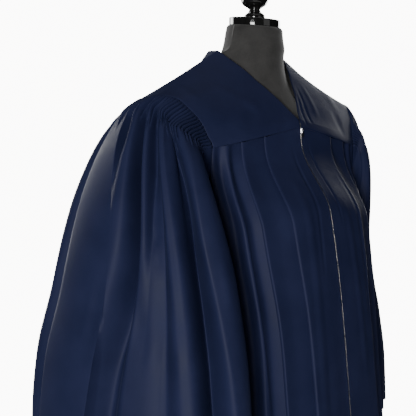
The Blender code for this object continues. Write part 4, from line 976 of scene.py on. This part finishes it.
def hermite(start, leave, end, arrive, steps):
    """Points of a smooth line from start to end, without its last point."""
    t = np.linspace(0, 1, steps, endpoint=False)[:, None, None]
    return smooth_step(start, leave, end, arrive, t)


def sleeve_paths(q, folds, rings, fullness):
    """Paths of all columns, from the armhole seam to the sleeve hem: steps, columns, 3."""
    seam = armhole(q)
    away = unit(seam[:, 3:6])
    spread = np.array((fullness, fullness, 1.0))
    start = seam[:, :3] + away * seam[:, 6:7]
    reach = band_reach(q) * spread
    fall = sleeve_fall(q) * spread
    edge = start + reach
    length = np.linalg.norm(reach, axis=1, keepdims=True)
    turned = unit(unit(reach) + BAND_TURN * unit(fall)) * length

    def ring(z):
        height = np.full(len(q), z)
        return ring_point(fold_angle(folds, q, height), height, rings)

    end = ring(SLEEVE_RING_TOP_Z)
    arrive = (ring(SLEEVE_RING_TOP_Z - PATH_NEAR) - end) / PATH_NEAR
    arrive = arrive * (edge[:, 2:3] - SLEEVE_RING_TOP_Z)
    lower = [ring(z) for z in np.linspace(SLEEVE_RING_TOP_Z, SLEEVE_HEM_Z, RING_STEPS + 1)]
    return np.concatenate([hermite(start, away * length, edge, turned, BAND_STEPS),
                           hermite(edge, fall, end, arrive, PATH_STEPS), lower])


def sleeve_places():
    """Places round the armhole, close together where there are flutes."""
    fluted = SLEEVE_ARC_FLUTES * COLUMNS_PER_FLUTE
    return np.concatenate([start + (end - start) * np.arange(count) / count
                           for start, end, count in ((0, FRONT_YOKE_Q, fluted),
                                                     (FRONT_YOKE_Q, BACK_YOKE_Q, UNDERARM_COLUMNS),
                                                     (BACK_YOKE_Q, 1, fluted))])


def flute_profile(q):
    """Height of the flutes at a place, the flute's number, and whether there are flutes."""
    front = q < FRONT_YOKE_Q
    fluted = front | (q >= BACK_YOKE_Q)
    turn = np.where(front, q / FRONT_YOKE_Q, (q - BACK_YOKE_Q) / (1 - BACK_YOKE_Q))
    phase = turn * SLEEVE_ARC_FLUTES
    return np.where(fluted, flute_height(phase), 0.0), np.floor(phase).astype(int), fluted


# How much further than its neighbours each flute runs on below the band, in metres.
FLUTE_RUN_ON = (0.004, 0.012, 0.002, 0.016, 0.020, 0.006, 0.024, 0.010, 0.002, 0.014, 0.004,
                0.009, 0.001, 0.007, 0.003, 0.010, 0.002, 0.006, 0.003, 0.008, 0.001, 0.005,
                0.002, 0.006, 0.001, 0.003)

# The big folds of the right sleeve's front: the place round the sleeve of each ridge or valley at
# seven levels down it, and its height there.
WAVE_LEVELS = (0.0, 0.07, 0.17, 0.29, 0.49, 0.73, 1.0)
RIGHT_WAVES = [
    # places at the seven levels,                          heights there, in mm
    ((-0.100, -0.100, -0.106, -0.098, -0.103, -0.093, -0.085), (-3, -5, -7, -8, -6, -6, -7)),
    ((-0.060, -0.060, -0.068, -0.072, -0.068, -0.070, -0.060), (3, 5, 8, 10, 10, 10, 12)),
    ((0.004, 0.007, -0.013, -0.023, -0.030, -0.036, -0.035), (-5, -13, -18, -13, -4, -2, -2)),
    ((0.022, 0.024, 0.018, 0.007, -0.007, -0.018, -0.014), (5, 8, 13, 16, 17, 17, 18)),
    ((0.042, 0.050, 0.047, 0.041, 0.025, 0.012, 0.010), (-7, -21, -33, -38, -36, -34, -33)),
    ((0.058, 0.062, 0.061, 0.060, 0.054, 0.052, 0.052), (3, 4, 4, 2, -1, -2, -3)),
    ((0.078, 0.085, 0.084, 0.076, 0.072, 0.074, 0.076), (-6, -16, -21, -15, -3, -2, -4)),
    ((0.091, 0.096, 0.099, 0.102, 0.105, 0.109, 0.112), (0, -3, -9, -9, -7, -7, -7)),
    ((0.106, 0.110, 0.115, 0.118, 0.123, 0.129, 0.134), (4, 8, 12, 14, 14, 14, 15)),
    ((0.147, 0.156, 0.168, 0.172, 0.176, 0.182, 0.190), (-6, -16, -28, -35, -36, -36, -35)),
    ((0.208, 0.214, 0.206, 0.203, 0.217, 0.233, 0.245), (6, 10, 14, 16, 17, 18, 18)),
    ((0.280, 0.285, 0.285, 0.285, 0.288, 0.290, 0.292), (0, 1, 3, 5, 6, 7, 8)),
]
RIDGE_BREADTH = 1.7
# The flutes rise from this share at the armhole seam to all of their height this far below it.
SEAM_SHARE = 0.25
SEAM_EASE = 0.003

# Short pinches under the flutes: place and lean round the sleeve, distance below the band of the
# middle, half width, half length and height.
RIGHT_PINCHES = [
    # q,    lean,   middle, half_q, half_length, height
    (0.030, -0.004, 0.006, 0.006, 0.014, -0.0045),
    (0.062, 0.000, 0.032, 0.005, 0.014, -0.0030),
    (0.106, 0.000, 0.020, 0.005, 0.014, -0.0030),
    (0.093, 0.004, 0.030, 0.006, 0.040, 0.0060),
    (0.118, 0.000, 0.014, 0.006, 0.016, -0.0035),
    (0.134, 0.004, 0.018, 0.005, 0.024, 0.0035),
    (0.153, 0.004, 0.024, 0.005, 0.030, 0.0045),
    (0.168, 0.003, 0.030, 0.005, 0.036, 0.0045),
    (0.184, 0.000, 0.014, 0.005, 0.018, -0.0030),
    (0.196, 0.000, 0.010, 0.005, 0.016, 0.0030),
    (0.236, 0.000, 0.008, 0.006, 0.014, -0.0035),
    (0.252, 0.002, 0.012, 0.007, 0.018, -0.0030),
    (0.972, -0.002, 0.020, 0.008, 0.030, 0.0030),
    (0.915, 0.000, 0.024, 0.009, 0.036, -0.0030),
]
LEFT_PINCHES = [
    # q,    lean,   middle, half_q, half_length, height
    (0.045, 0.000, 0.014, 0.006, 0.020, -0.0035),
    (0.120, 0.003, 0.020, 0.006, 0.026, 0.0035),
    (0.165, 0.000, 0.016, 0.006, 0.024, -0.0035),
    (0.210, 0.000, 0.012, 0.006, 0.020, -0.0030),
    (0.940, 0.000, 0.020, 0.008, 0.030, -0.0030),
]

# Dents in a sleeve: place round it, height, half width, half height, lean, depth.
SLEEVE_RIGHT_DENTS = [
    # q,    z,     half_q, half_z, lean, depth
    (0.082, 1.125, 0.016, 0.016, 0.60, -0.0028),
    (0.070, 1.108, 0.016, 0.016, -0.60, -0.0024),
    (0.085, 1.085, 0.016, 0.020, 0.50, -0.0020),
    (0.062, 0.980, 0.020, 0.045, 0.20, -0.0022),
    (0.085, 0.940, 0.016, 0.040, -0.25, 0.0018),
    (0.990, 1.000, 0.012, 0.090, 0.03, -0.0020),
    (0.130, 1.080, 0.014, 0.060, 0.05, 0.0012),
    (0.240, 1.050, 0.020, 0.070, -0.05, 0.0014),
]
SLEEVE_LEFT_DENTS = [
    # q,    z,     half_q, half_z, lean, depth
    (0.060, 1.120, 0.014, 0.030, 0.30, -0.0025),
    (0.130, 0.960, 0.016, 0.050, -0.20, -0.0020),
    (0.225, 1.040, 0.020, 0.060, 0.05, 0.0015),
]


def around(q, place):
    """Signed way round the armhole from a place to q, the short way."""
    return np.mod(q - place + 0.5, 1.0) - 0.5


def sleeve_dents(dents, q, z):
    total = np.zeros_like(z)
    for place, height, half_q, half_z, lean, depth in dents:
        down = (height - z) / half_z
        off = around(q, place) - lean * half_q * down
        total = total + depth * bump(off / half_q) * bump(down)
    return total


def pinches(rows, q, below):
    total = np.zeros_like(below)
    for place, lean, middle, half_q, half_length, height in rows:
        down = (below - middle) / half_length
        off = around(q, place) - lean * down
        total = total + height * bump(off / half_q) * bump(down)
    return total


def waves_of(folds_table):
    """The fold table's rows with heights, as waves that keep their place at every level."""
    rows = []
    for q, _, _, *heights in folds_table:
        if heights:
            top, waist, hem = heights
            down = (top * 0.5, top, (top + waist) / 2, waist, waist, (waist + hem) / 2, hem)
            rows.append(((q,) * len(WAVE_LEVELS), tuple(1000 * h for h in down)))
    return rows


def wave_heights(waves, q, levels):
    """Height of the big folds over a sleeve's grid: broad ridges, narrow valleys."""
    places = Smooth([(level, *[w[0][i] for w in waves]) for i, level in enumerate(WAVE_LEVELS)])
    sizes = Smooth([(level, *[w[1][i] / 1000 for w in waves])
                    for i, level in enumerate(WAVE_LEVELS)])
    heights = np.zeros_like(levels)
    for r in range(len(levels)):
        at = places(levels[r].mean())
        size = sizes(levels[r].mean())
        keys = np.concatenate([at[-2:] - 1, at, at[:2] + 1])
        values = np.concatenate([size[-2:], size, size[:2]])
        height = Smooth(np.stack([keys, values], axis=1))(q)[:, 0]
        spot = np.clip(np.searchsorted(keys, q, side="right") - 1, 0, len(keys) - 2)
        low = np.minimum(values[spot], values[spot + 1])
        high = np.maximum(values[spot], values[spot + 1])
        part = (height - low) / np.maximum(high - low, 1e-6)
        heights[r] = low + (high - low) * (1 - (1 - np.clip(part, 0, 1)) ** RIDGE_BREADTH)
    return heights


def outward(grid, normals):
    """1 where a sleeve's normals look outwards, else -1."""
    return int(np.sign((normals[-1, 0] * (grid[-1, 0] - grid[-1].mean(axis=0))).sum()))


def sleeve(node, folds_table, rings_table, waves, pinch_rows, dents, fullness, side):
    q = sleeve_places()
    paths = sleeve_paths(q, wrapped(folds_table), Smooth(rings_table), fullness)
    lengths = distances(paths)
    band = lengths[BAND_STEPS]
    hang = lengths[-1] - band
    shares = np.concatenate([np.linspace(-1, 0, BAND_ROWS, endpoint=False),
                             np.linspace(0, 1, RELEASE_ROWS, endpoint=False),
                             np.linspace(1, 2, HANG_ROWS + 1)])[:, None]
    below = np.where(shares <= 0, shares * band,
                     np.where(shares <= 1, shares * RELEASE_LENGTH,
                              RELEASE_LENGTH + (shares - 1) * (hang - RELEASE_LENGTH)))
    grid = np.zeros((len(shares), len(q), 3))
    for c in range(len(q)):
        for k in range(3):
            grid[:, c, k] = np.interp(below[:, c] + band[c], lengths[:, c], paths[:, c, k])
    normals = grid_normals(grid, True)
    normals = normals * outward(grid, normals)
    profile, number, fluted = flute_profile(q)
    run_on = np.array(FLUTE_RUN_ON)[np.clip(number, 0, len(FLUTE_RUN_ON) - 1)]
    fade = ease(1 - (below - run_on) / FLUTE_FADE) * ease((below + band) / SEAM_EASE + SEAM_SHARE)
    lift = wave_heights(waves, q, np.clip(below / hang, 0, 1)) * ease(1 + below / band)
    lift = lift + FLUTE_HEIGHT * (profile - 0.5) * fluted * fade
    lift = lift + pinches(pinch_rows, q, below) + sleeve_dents(dents, q, grid[..., 2])
    grid = flipped(grid + normals * lift[..., None], side)
    cloth_piece(node, grid[:, ::outward(grid, grid_normals(grid, True))], closed=True)


# Dress form, cap, finial and stand

FORM_SECTIONS = [
    # z,     half_width, front, back, neck, centre_y
    (0.800, 0.158, 0.098, 0.112, 0.000, 0.010),
    (0.830, 0.166, 0.104, 0.122, 0.000, 0.010),
    (0.900, 0.168, 0.104, 0.126, 0.000, 0.008),
    (0.980, 0.148, 0.096, 0.108, 0.000, 0.004),
    (1.060, 0.122, 0.090, 0.094, 0.000, 0.000),
    (1.140, 0.140, 0.100, 0.100, 0.020, 0.002),
    (1.210, 0.162, 0.112, 0.106, 0.060, 0.004),
    (1.270, 0.178, 0.106, 0.106, 0.086, 0.006),
    (1.3175, 0.187, 0.085, 0.094, 0.095, 0.007),
    (1.3500, 0.1915, 0.058, 0.078, 0.086, 0.007),
    (1.3764, 0.1866, 0.038, 0.060, 0.077, 0.007),
    (1.3960, 0.1795, 0.026, 0.046, 0.072, 0.007),
    (1.4127, 0.1518, 0.018, 0.036, 0.068, 0.007),
    (1.4300, 0.1172, 0.010, 0.022, 0.066, 0.007),
    (1.4440, 0.0850, 0.005, 0.011, 0.0645, 0.006),
    (1.4560, 0.0640, 0.004, 0.004, 0.0625, 0.000),
    (1.4720, 0.0595, 0.003, 0.003, 0.0590, -0.001),
    (1.4880, 0.0570, 0.003, 0.003, 0.0565, -0.002),
    (1.4975, 0.0555, 0.003, 0.003, 0.0550, -0.003),
    (1.5015, 0.0525, 0.003, 0.003, 0.0520, -0.003),
]
FORM_SEGMENTS = 128
FORM_LEVELS = (0.800, 1.300, 1.5015)
NECK_LEAST = 0.35
RELAXED_ROWS = slice(48, 100)
RELAXED_TIMES = 10
NECK_Y = -0.003
NECK_TILT = math.tan(math.radians(6.0))
TILT_FROM_Z = 1.458
TILT_FULL_Z = 1.4978
CAP_BOTTOM_Z = 1.5018
CAP_RADIUS = 0.0500
CAP_HEIGHT = 0.0150
CAP_PROFILE = [
    # radius, height
    (CAP_RADIUS - 0.0012, 0.0),
    (CAP_RADIUS - 0.0002, 0.0005),
    (CAP_RADIUS, 0.0016),
    (CAP_RADIUS, CAP_HEIGHT - 0.0018),
    (CAP_RADIUS - 0.0005, CAP_HEIGHT - 0.0005),
    (CAP_RADIUS - 0.0018, CAP_HEIGHT),
]
FINIAL_PROFILE = [
    # radius, height above the cap
    (0.0200, 0.0003),
    (0.0205, 0.0040),
    (0.0180, 0.0085),
    (0.0125, 0.0130),
    (0.0110, 0.0175),
    (0.0145, 0.0215),
    (0.0225, 0.0270),
    (0.0270, 0.0360),
    (0.0275, 0.0440),
    (0.0240, 0.0540),
    (0.0150, 0.0620),
    (0.0050, 0.0655),
]
FOOT_PROFILE = [
    # radius, height
    (0.190, 0.000),
    (0.190, 0.010),
    (0.182, 0.016),
    (0.120, 0.024),
    (0.040, 0.034),
    (0.030, 0.060),
]


def form_grid():
    table = Smooth(FORM_SECTIONS)
    low, chest, top = FORM_LEVELS
    z = np.concatenate([np.linspace(low, chest, 40)[:-1], np.linspace(chest, top, 70)])
    half_width, front, back, neck, centre_y = np.moveaxis(table(z)[:, None, :], -1, 0)
    turn = np.linspace(0, 2 * math.pi, FORM_SEGMENTS, endpoint=False)[None, :]
    reach = np.abs(np.sin(turn))
    neck_reach = np.maximum(neck, half_width * NECK_LEAST)
    width = neck_reach + (half_width - neck_reach) * reach ** 3
    x = np.sin(turn) * width
    lens = np.where(np.cos(turn) > 0, front, back) * np.sqrt(
        np.maximum(1 - (x / half_width) ** 2, 0))
    circle = np.sqrt(np.maximum(neck ** 2 - x ** 2, 0))
    depth = (lens ** 3 + circle ** 3) ** (1 / 3)
    y = centre_y - np.sign(np.cos(turn)) * depth
    lean = NECK_TILT * ease((z - TILT_FROM_Z) / (TILT_FULL_Z - TILT_FROM_Z))[:, None]
    return vec(x, y, z[:, None] + (y - NECK_Y) * lean)


def capped(name, grid, look):
    """A closed solid from rings that go up, with a centre point at each end."""
    rows, columns = grid.shape[:2]
    faces = list(grid_faces(rows, columns, True, flip=True))
    points = list(grid.reshape(-1, 3))
    for r, turn in ((0, -1), (rows - 1, 1)):
        points.append(grid[r].mean(axis=0))
        middle = len(points) - 1
        for c in range(columns):
            tri = (r * columns + c, r * columns + (c + 1) % columns, middle)
            faces.append(tri[::turn])
    uv = np.concatenate([grid_uv(grid), [(0, 0), (0, 0)]])
    made = add_mesh(name, points, faces, look, uv)
    made.data.set_sharp_from_angle(angle=SHARP_FROM)
    return made


def smoothed(grid, rows, times):
    """Relaxes the listed rows of a closed grid, so that the neck runs softly into the shoulders."""
    grid = grid.copy()
    for _ in range(times):
        beside, along = ((np.roll(grid, 1, axis) + np.roll(grid, -1, axis)) / 2 for axis in (1, 0))
        blend = (beside + along) / 2
        grid[rows] = grid[rows] * 0.5 + blend[rows] * 0.5
    return grid


def turned_grid(profile, centre_y, base_z, tilted, segments=96, rounds=3):
    """Rings of a turned piece; heights between the profile's rows follow a smooth curve."""
    profile = np.array(profile, float)
    order = distances(profile)
    curve = Smooth([(o, *p) for o, p in zip(order, profile)])
    at = np.concatenate([np.linspace(a, b, rounds, endpoint=False)
                         for a, b in zip(order, order[1:])] + [[order[-1]]])
    radius, height = np.moveaxis(curve(at), -1, 0)
    turn = np.linspace(0, 2 * math.pi, segments, endpoint=False)[None, :]
    across = radius[:, None] * np.sin(turn)
    lean = np.where(height <= tilted, NECK_TILT, 0.0)[:, None]
    return vec(radius[:, None] * np.cos(turn), centre_y + across,
               base_z + height[:, None] + across * lean)


# Zip

ZIP_TOP_Z = 1.3150
TAPE_WIDTH = 0.0115
TAPE_THICK = 0.0006
TAPE_GAP = 0.0009
TAPE_TURNED_BACK = 0.0045
TOOTH_PITCH = 0.0026
TOOTH_WIDTH, TOOTH_LENGTH, TOOTH_DEPTH = 0.0016, 0.0011, 0.0013
# A tooth's sections through its depth: place from -1 to 1, and size.
TOOTH_SECTIONS = ((-1, 1.0), (0.5, 1.0), (1, 0.62))
TOOTH_CORNERS = ((-1, -1), (1, -1), (1, 1), (-1, 1))
TOOTH_FACES = [(r + c, r + (c + 1) % 4, r + 4 + (c + 1) % 4, r + 4 + c)
               for r in (0, 4) for c in range(4)] + [(3, 2, 1, 0), (8, 9, 10, 11)]
TEETH_FROM = 0.003
TEETH_LOW_Z = 0.205
TEETH_IN_GAP = 0.4
TEETH_APART = 0.0002
TAPE_ROWS = 90
TAPE_LOW_SHARE = 0.93
TAPE_EDGE_X = 0.0006
TAPE_LEAD_ROWS = 6
TAPE_SPOT = (20, 3)


def zip_tape(node, folds, side):
    """A tape under a front panel's edge; returns the line that its teeth stand on."""
    lines = front_lines(folds, np.linspace(0.0, TAPE_LOW_SHARE, TAPE_ROWS))[0][:4]
    edge, cover = (np.array([[np.interp(width, -row[:, 0], row[:, k]) for k in (1, 2)]
                             for row in lines.transpose(1, 0, 2)])
                   for width in (FRONT_EDGE_X, TAPE_WIDTH))
    neck, top = neck_edge(1.0), front_seam(0.0)
    above = np.array((np.interp(ZIP_TOP_Z, (top[2], neck[2]), (top[1], neck[1])), ZIP_TOP_Z))
    turned = np.array((TAPE_TURNED_BACK, 0))
    share = np.linspace(0, 1, TAPE_LEAD_ROWS + 2)[:-1, None]
    lead = above + (edge[0] - above) * share
    lead_cover = above + turned + (cover[0] + turned / 2 - above - turned) * share
    fading = 1 - np.arange(TAPE_LEAD_ROWS) / TAPE_LEAD_ROWS
    cover[:TAPE_LEAD_ROWS, 0] += TAPE_TURNED_BACK / 2 * fading
    edge = np.concatenate([lead, edge])
    cover = np.concatenate([lead_cover, cover])
    across = np.linspace(0, 1, 7)[None, :]
    y, z = (edge[:, k, None] + (cover - edge)[:, k, None] * across for k in (0, 1))
    x = -(TAPE_EDGE_X + (TAPE_WIDTH - TAPE_EDGE_X) * across)
    grid = flipped(vec(x, y + TAPE_GAP + TAPE_THICK / 2, z), side)
    cloth_piece(node, facing(grid, TAPE_SPOT, -1), False, tape_look, TAPE_THICK)
    return edge


def teeth(name, edge, side):
    """A row of small teeth on the inner edge of a tape."""
    lengths = distances(edge)
    stop = np.interp(-TEETH_LOW_Z, -edge[:, 1], lengths)
    places = np.arange(TEETH_FROM, stop, TOOTH_PITCH) + (TOOTH_PITCH / 2 if side == LEFT else 0)
    y = np.interp(places, lengths, edge[:, 0]) + TAPE_GAP * TEETH_IN_GAP
    z = np.interp(places, lengths, edge[:, 1])
    down = unit(np.stack([np.gradient(y), np.gradient(z)], axis=1))
    out = np.stack([down[:, 1], -down[:, 0]], axis=1)
    points, faces = [], []
    for middle, out_way, down_way in zip(np.stack([y, z], axis=1), out, down):
        faces += [[len(points) + i for i in face[::-side]] for face in TOOTH_FACES]
        for level, size in TOOTH_SECTIONS:
            for a, b in TOOTH_CORNERS:
                x = side * (TEETH_APART + TOOTH_WIDTH / 2 + a * TOOTH_WIDTH / 2 * size)
                points.append((x, *(middle + out_way * level * TOOTH_DEPTH / 2
                                    + down_way * b * TOOTH_LENGTH / 2 * size)))
    dress(add_mesh(name, points, faces, brass, smooth=False), None)


# Build

front_yoke("yoke_front_right", YOKE_RIGHT_CREASES, RIGHT)
front_yoke("yoke_front_left", YOKE_LEFT_CREASES, LEFT)
back_yoke("yoke_back")
front_panel("front_right", FRONT_RIGHT_FOLDS, FRONT_RIGHT_CREASES, RIGHT)
front_panel("front_left", FRONT_LEFT_FOLDS, FRONT_LEFT_CREASES, LEFT)
back_panel("back_panel")
sleeve("sleeve_right", SLEEVE_RIGHT_FOLDS, SLEEVE_RIGHT_RINGS,
       RIGHT_WAVES + waves_of(SLEEVE_RIGHT_FOLDS), RIGHT_PINCHES, SLEEVE_RIGHT_DENTS,
       SLEEVE_RIGHT_FULLNESS, RIGHT)
sleeve("sleeve_left", SLEEVE_LEFT_FOLDS, SLEEVE_LEFT_RINGS, waves_of(SLEEVE_LEFT_FOLDS),
       LEFT_PINCHES, SLEEVE_LEFT_DENTS, SLEEVE_LEFT_FULLNESS, LEFT)
right_edge = zip_tape("zip_tape_right", FRONT_RIGHT_FOLDS, RIGHT)
left_edge = zip_tape("zip_tape_left", FRONT_LEFT_FOLDS, LEFT)
teeth("zip_teeth_right", right_edge, RIGHT)
teeth("zip_teeth_left", left_edge, LEFT)

form = smoothed(form_grid(), RELAXED_ROWS, RELAXED_TIMES)
dress(capped("dress_form_body", form, form_look), "dress_form")
dress(capped("form_cap_gloss", turned_grid(CAP_PROFILE, NECK_Y, CAP_BOTTOM_Z, 1.0), gloss),
      "form_cap")
dress(capped("form_finial_gloss", turned_grid(FINIAL_PROFILE, NECK_Y, CAP_BOTTOM_Z + CAP_HEIGHT,
                                              0.0041, rounds=5), gloss),
      "form_finial")
dress(capped("stand_foot_metal", turned_grid(FOOT_PROFILE, 0.0, 0.0, -1.0, segments=128), iron),
      "stand_foot")
for node, look in (("stand_pole", iron), ("zip_slider", steel), ("zip_pull_tab", steel)):
    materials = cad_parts[node].data.materials
    materials.clear()
    materials.append(look)

# Camera, light and floor

CAMERA_AT = (-1.0607, -1.0607, 1.285)
CAMERA_HEADING = math.radians(41.58)
CAMERA_PITCH = math.radians(-5.39)
CAMERA_LENS = 64.6
camera_data = bpy.data.cameras.new("camera")
camera = bpy.data.objects.new("camera", camera_data)
bpy.context.scene.collection.objects.link(camera)
bpy.context.scene.camera = camera
camera.location = CAMERA_AT
camera.rotation_euler = (math.pi / 2 + CAMERA_PITCH, 0.0, -CAMERA_HEADING)
camera_data.sensor_width = 36.0
camera_data.lens = CAMERA_LENS
camera_data.clip_start = 0.05

LIGHTS = [
    # name,       place,               aim,               size,       watts
    ("key_left", (-2.7, -1.9, 1.20), (-0.1, 0.0, 1.05), (1.0, 1.5), 112.0),
    ("front_fill", (0.6, -3.0, 1.7), (0.0, 0.0, 1.05), (1.6, 1.8), 4.0),
    ("rim_right", (2.9, 0.8, 1.5), (0.0, 0.0, 1.0), (1.2, 1.8), 60.0),
    ("back_fill", (-0.5, 3.1, 1.7), (0.0, 0.0, 1.0), (1.4, 1.8), 70.0),
    ("top", (0.0, -0.2, 3.2), (0.0, 0.0, 1.0), (1.6, 1.6), 5.0),
]
for name, place, aim, size, watts in LIGHTS:
    data = bpy.data.lights.new(name, "AREA")
    data.shape = "RECTANGLE"
    data.size, data.size_y = size
    data.energy = watts
    lamp = bpy.data.objects.new(name, data)
    bpy.context.scene.collection.objects.link(lamp)
    lamp.location = place
    way = np.array(aim) - np.array(place)
    flat = math.hypot(way[0], way[1])
    lamp.rotation_euler = (math.pi / 2 + math.atan2(way[2], flat), 0.0,
                           math.atan2(way[1], way[0]) - math.pi / 2)

world = bpy.data.worlds.new("studio")
bpy.context.scene.world = world
world.use_nodes = True
tree = world.node_tree
tree.nodes.clear()
pale = add_node(tree, "ShaderNodeBackground", Color=(0.955, 0.945, 0.930, 1.0), Strength=11.5)
ambient = add_node(tree, "ShaderNodeBackground", Color=(0.95, 0.97, 1.0, 1.0), Strength=0.012)
pick = add_node(tree, "ShaderNodeLightPath")
mix = add_node(tree, "ShaderNodeMixShader", {"Fac": pick.outputs["Is Camera Ray"],
                                             1: ambient.outputs[0], 2: pale.outputs[0]})
add_node(tree, "ShaderNodeOutputWorld", {"Surface": mix.outputs[0]})

floor_look, _, floor_shader = new_material("pale_floor")
set_values(floor_shader, Base_Color=(0.80, 0.795, 0.785, 1.0), Roughness=0.85)
FLOOR_RADIUS = 1.55
ring = [(FLOOR_RADIUS * math.cos(a), FLOOR_RADIUS * math.sin(a), -0.0005)
        for a in np.linspace(0, 2 * math.pi, 128, endpoint=False)]
floor = add_mesh("floor", ring, [tuple(range(128))], floor_look, smooth=False)
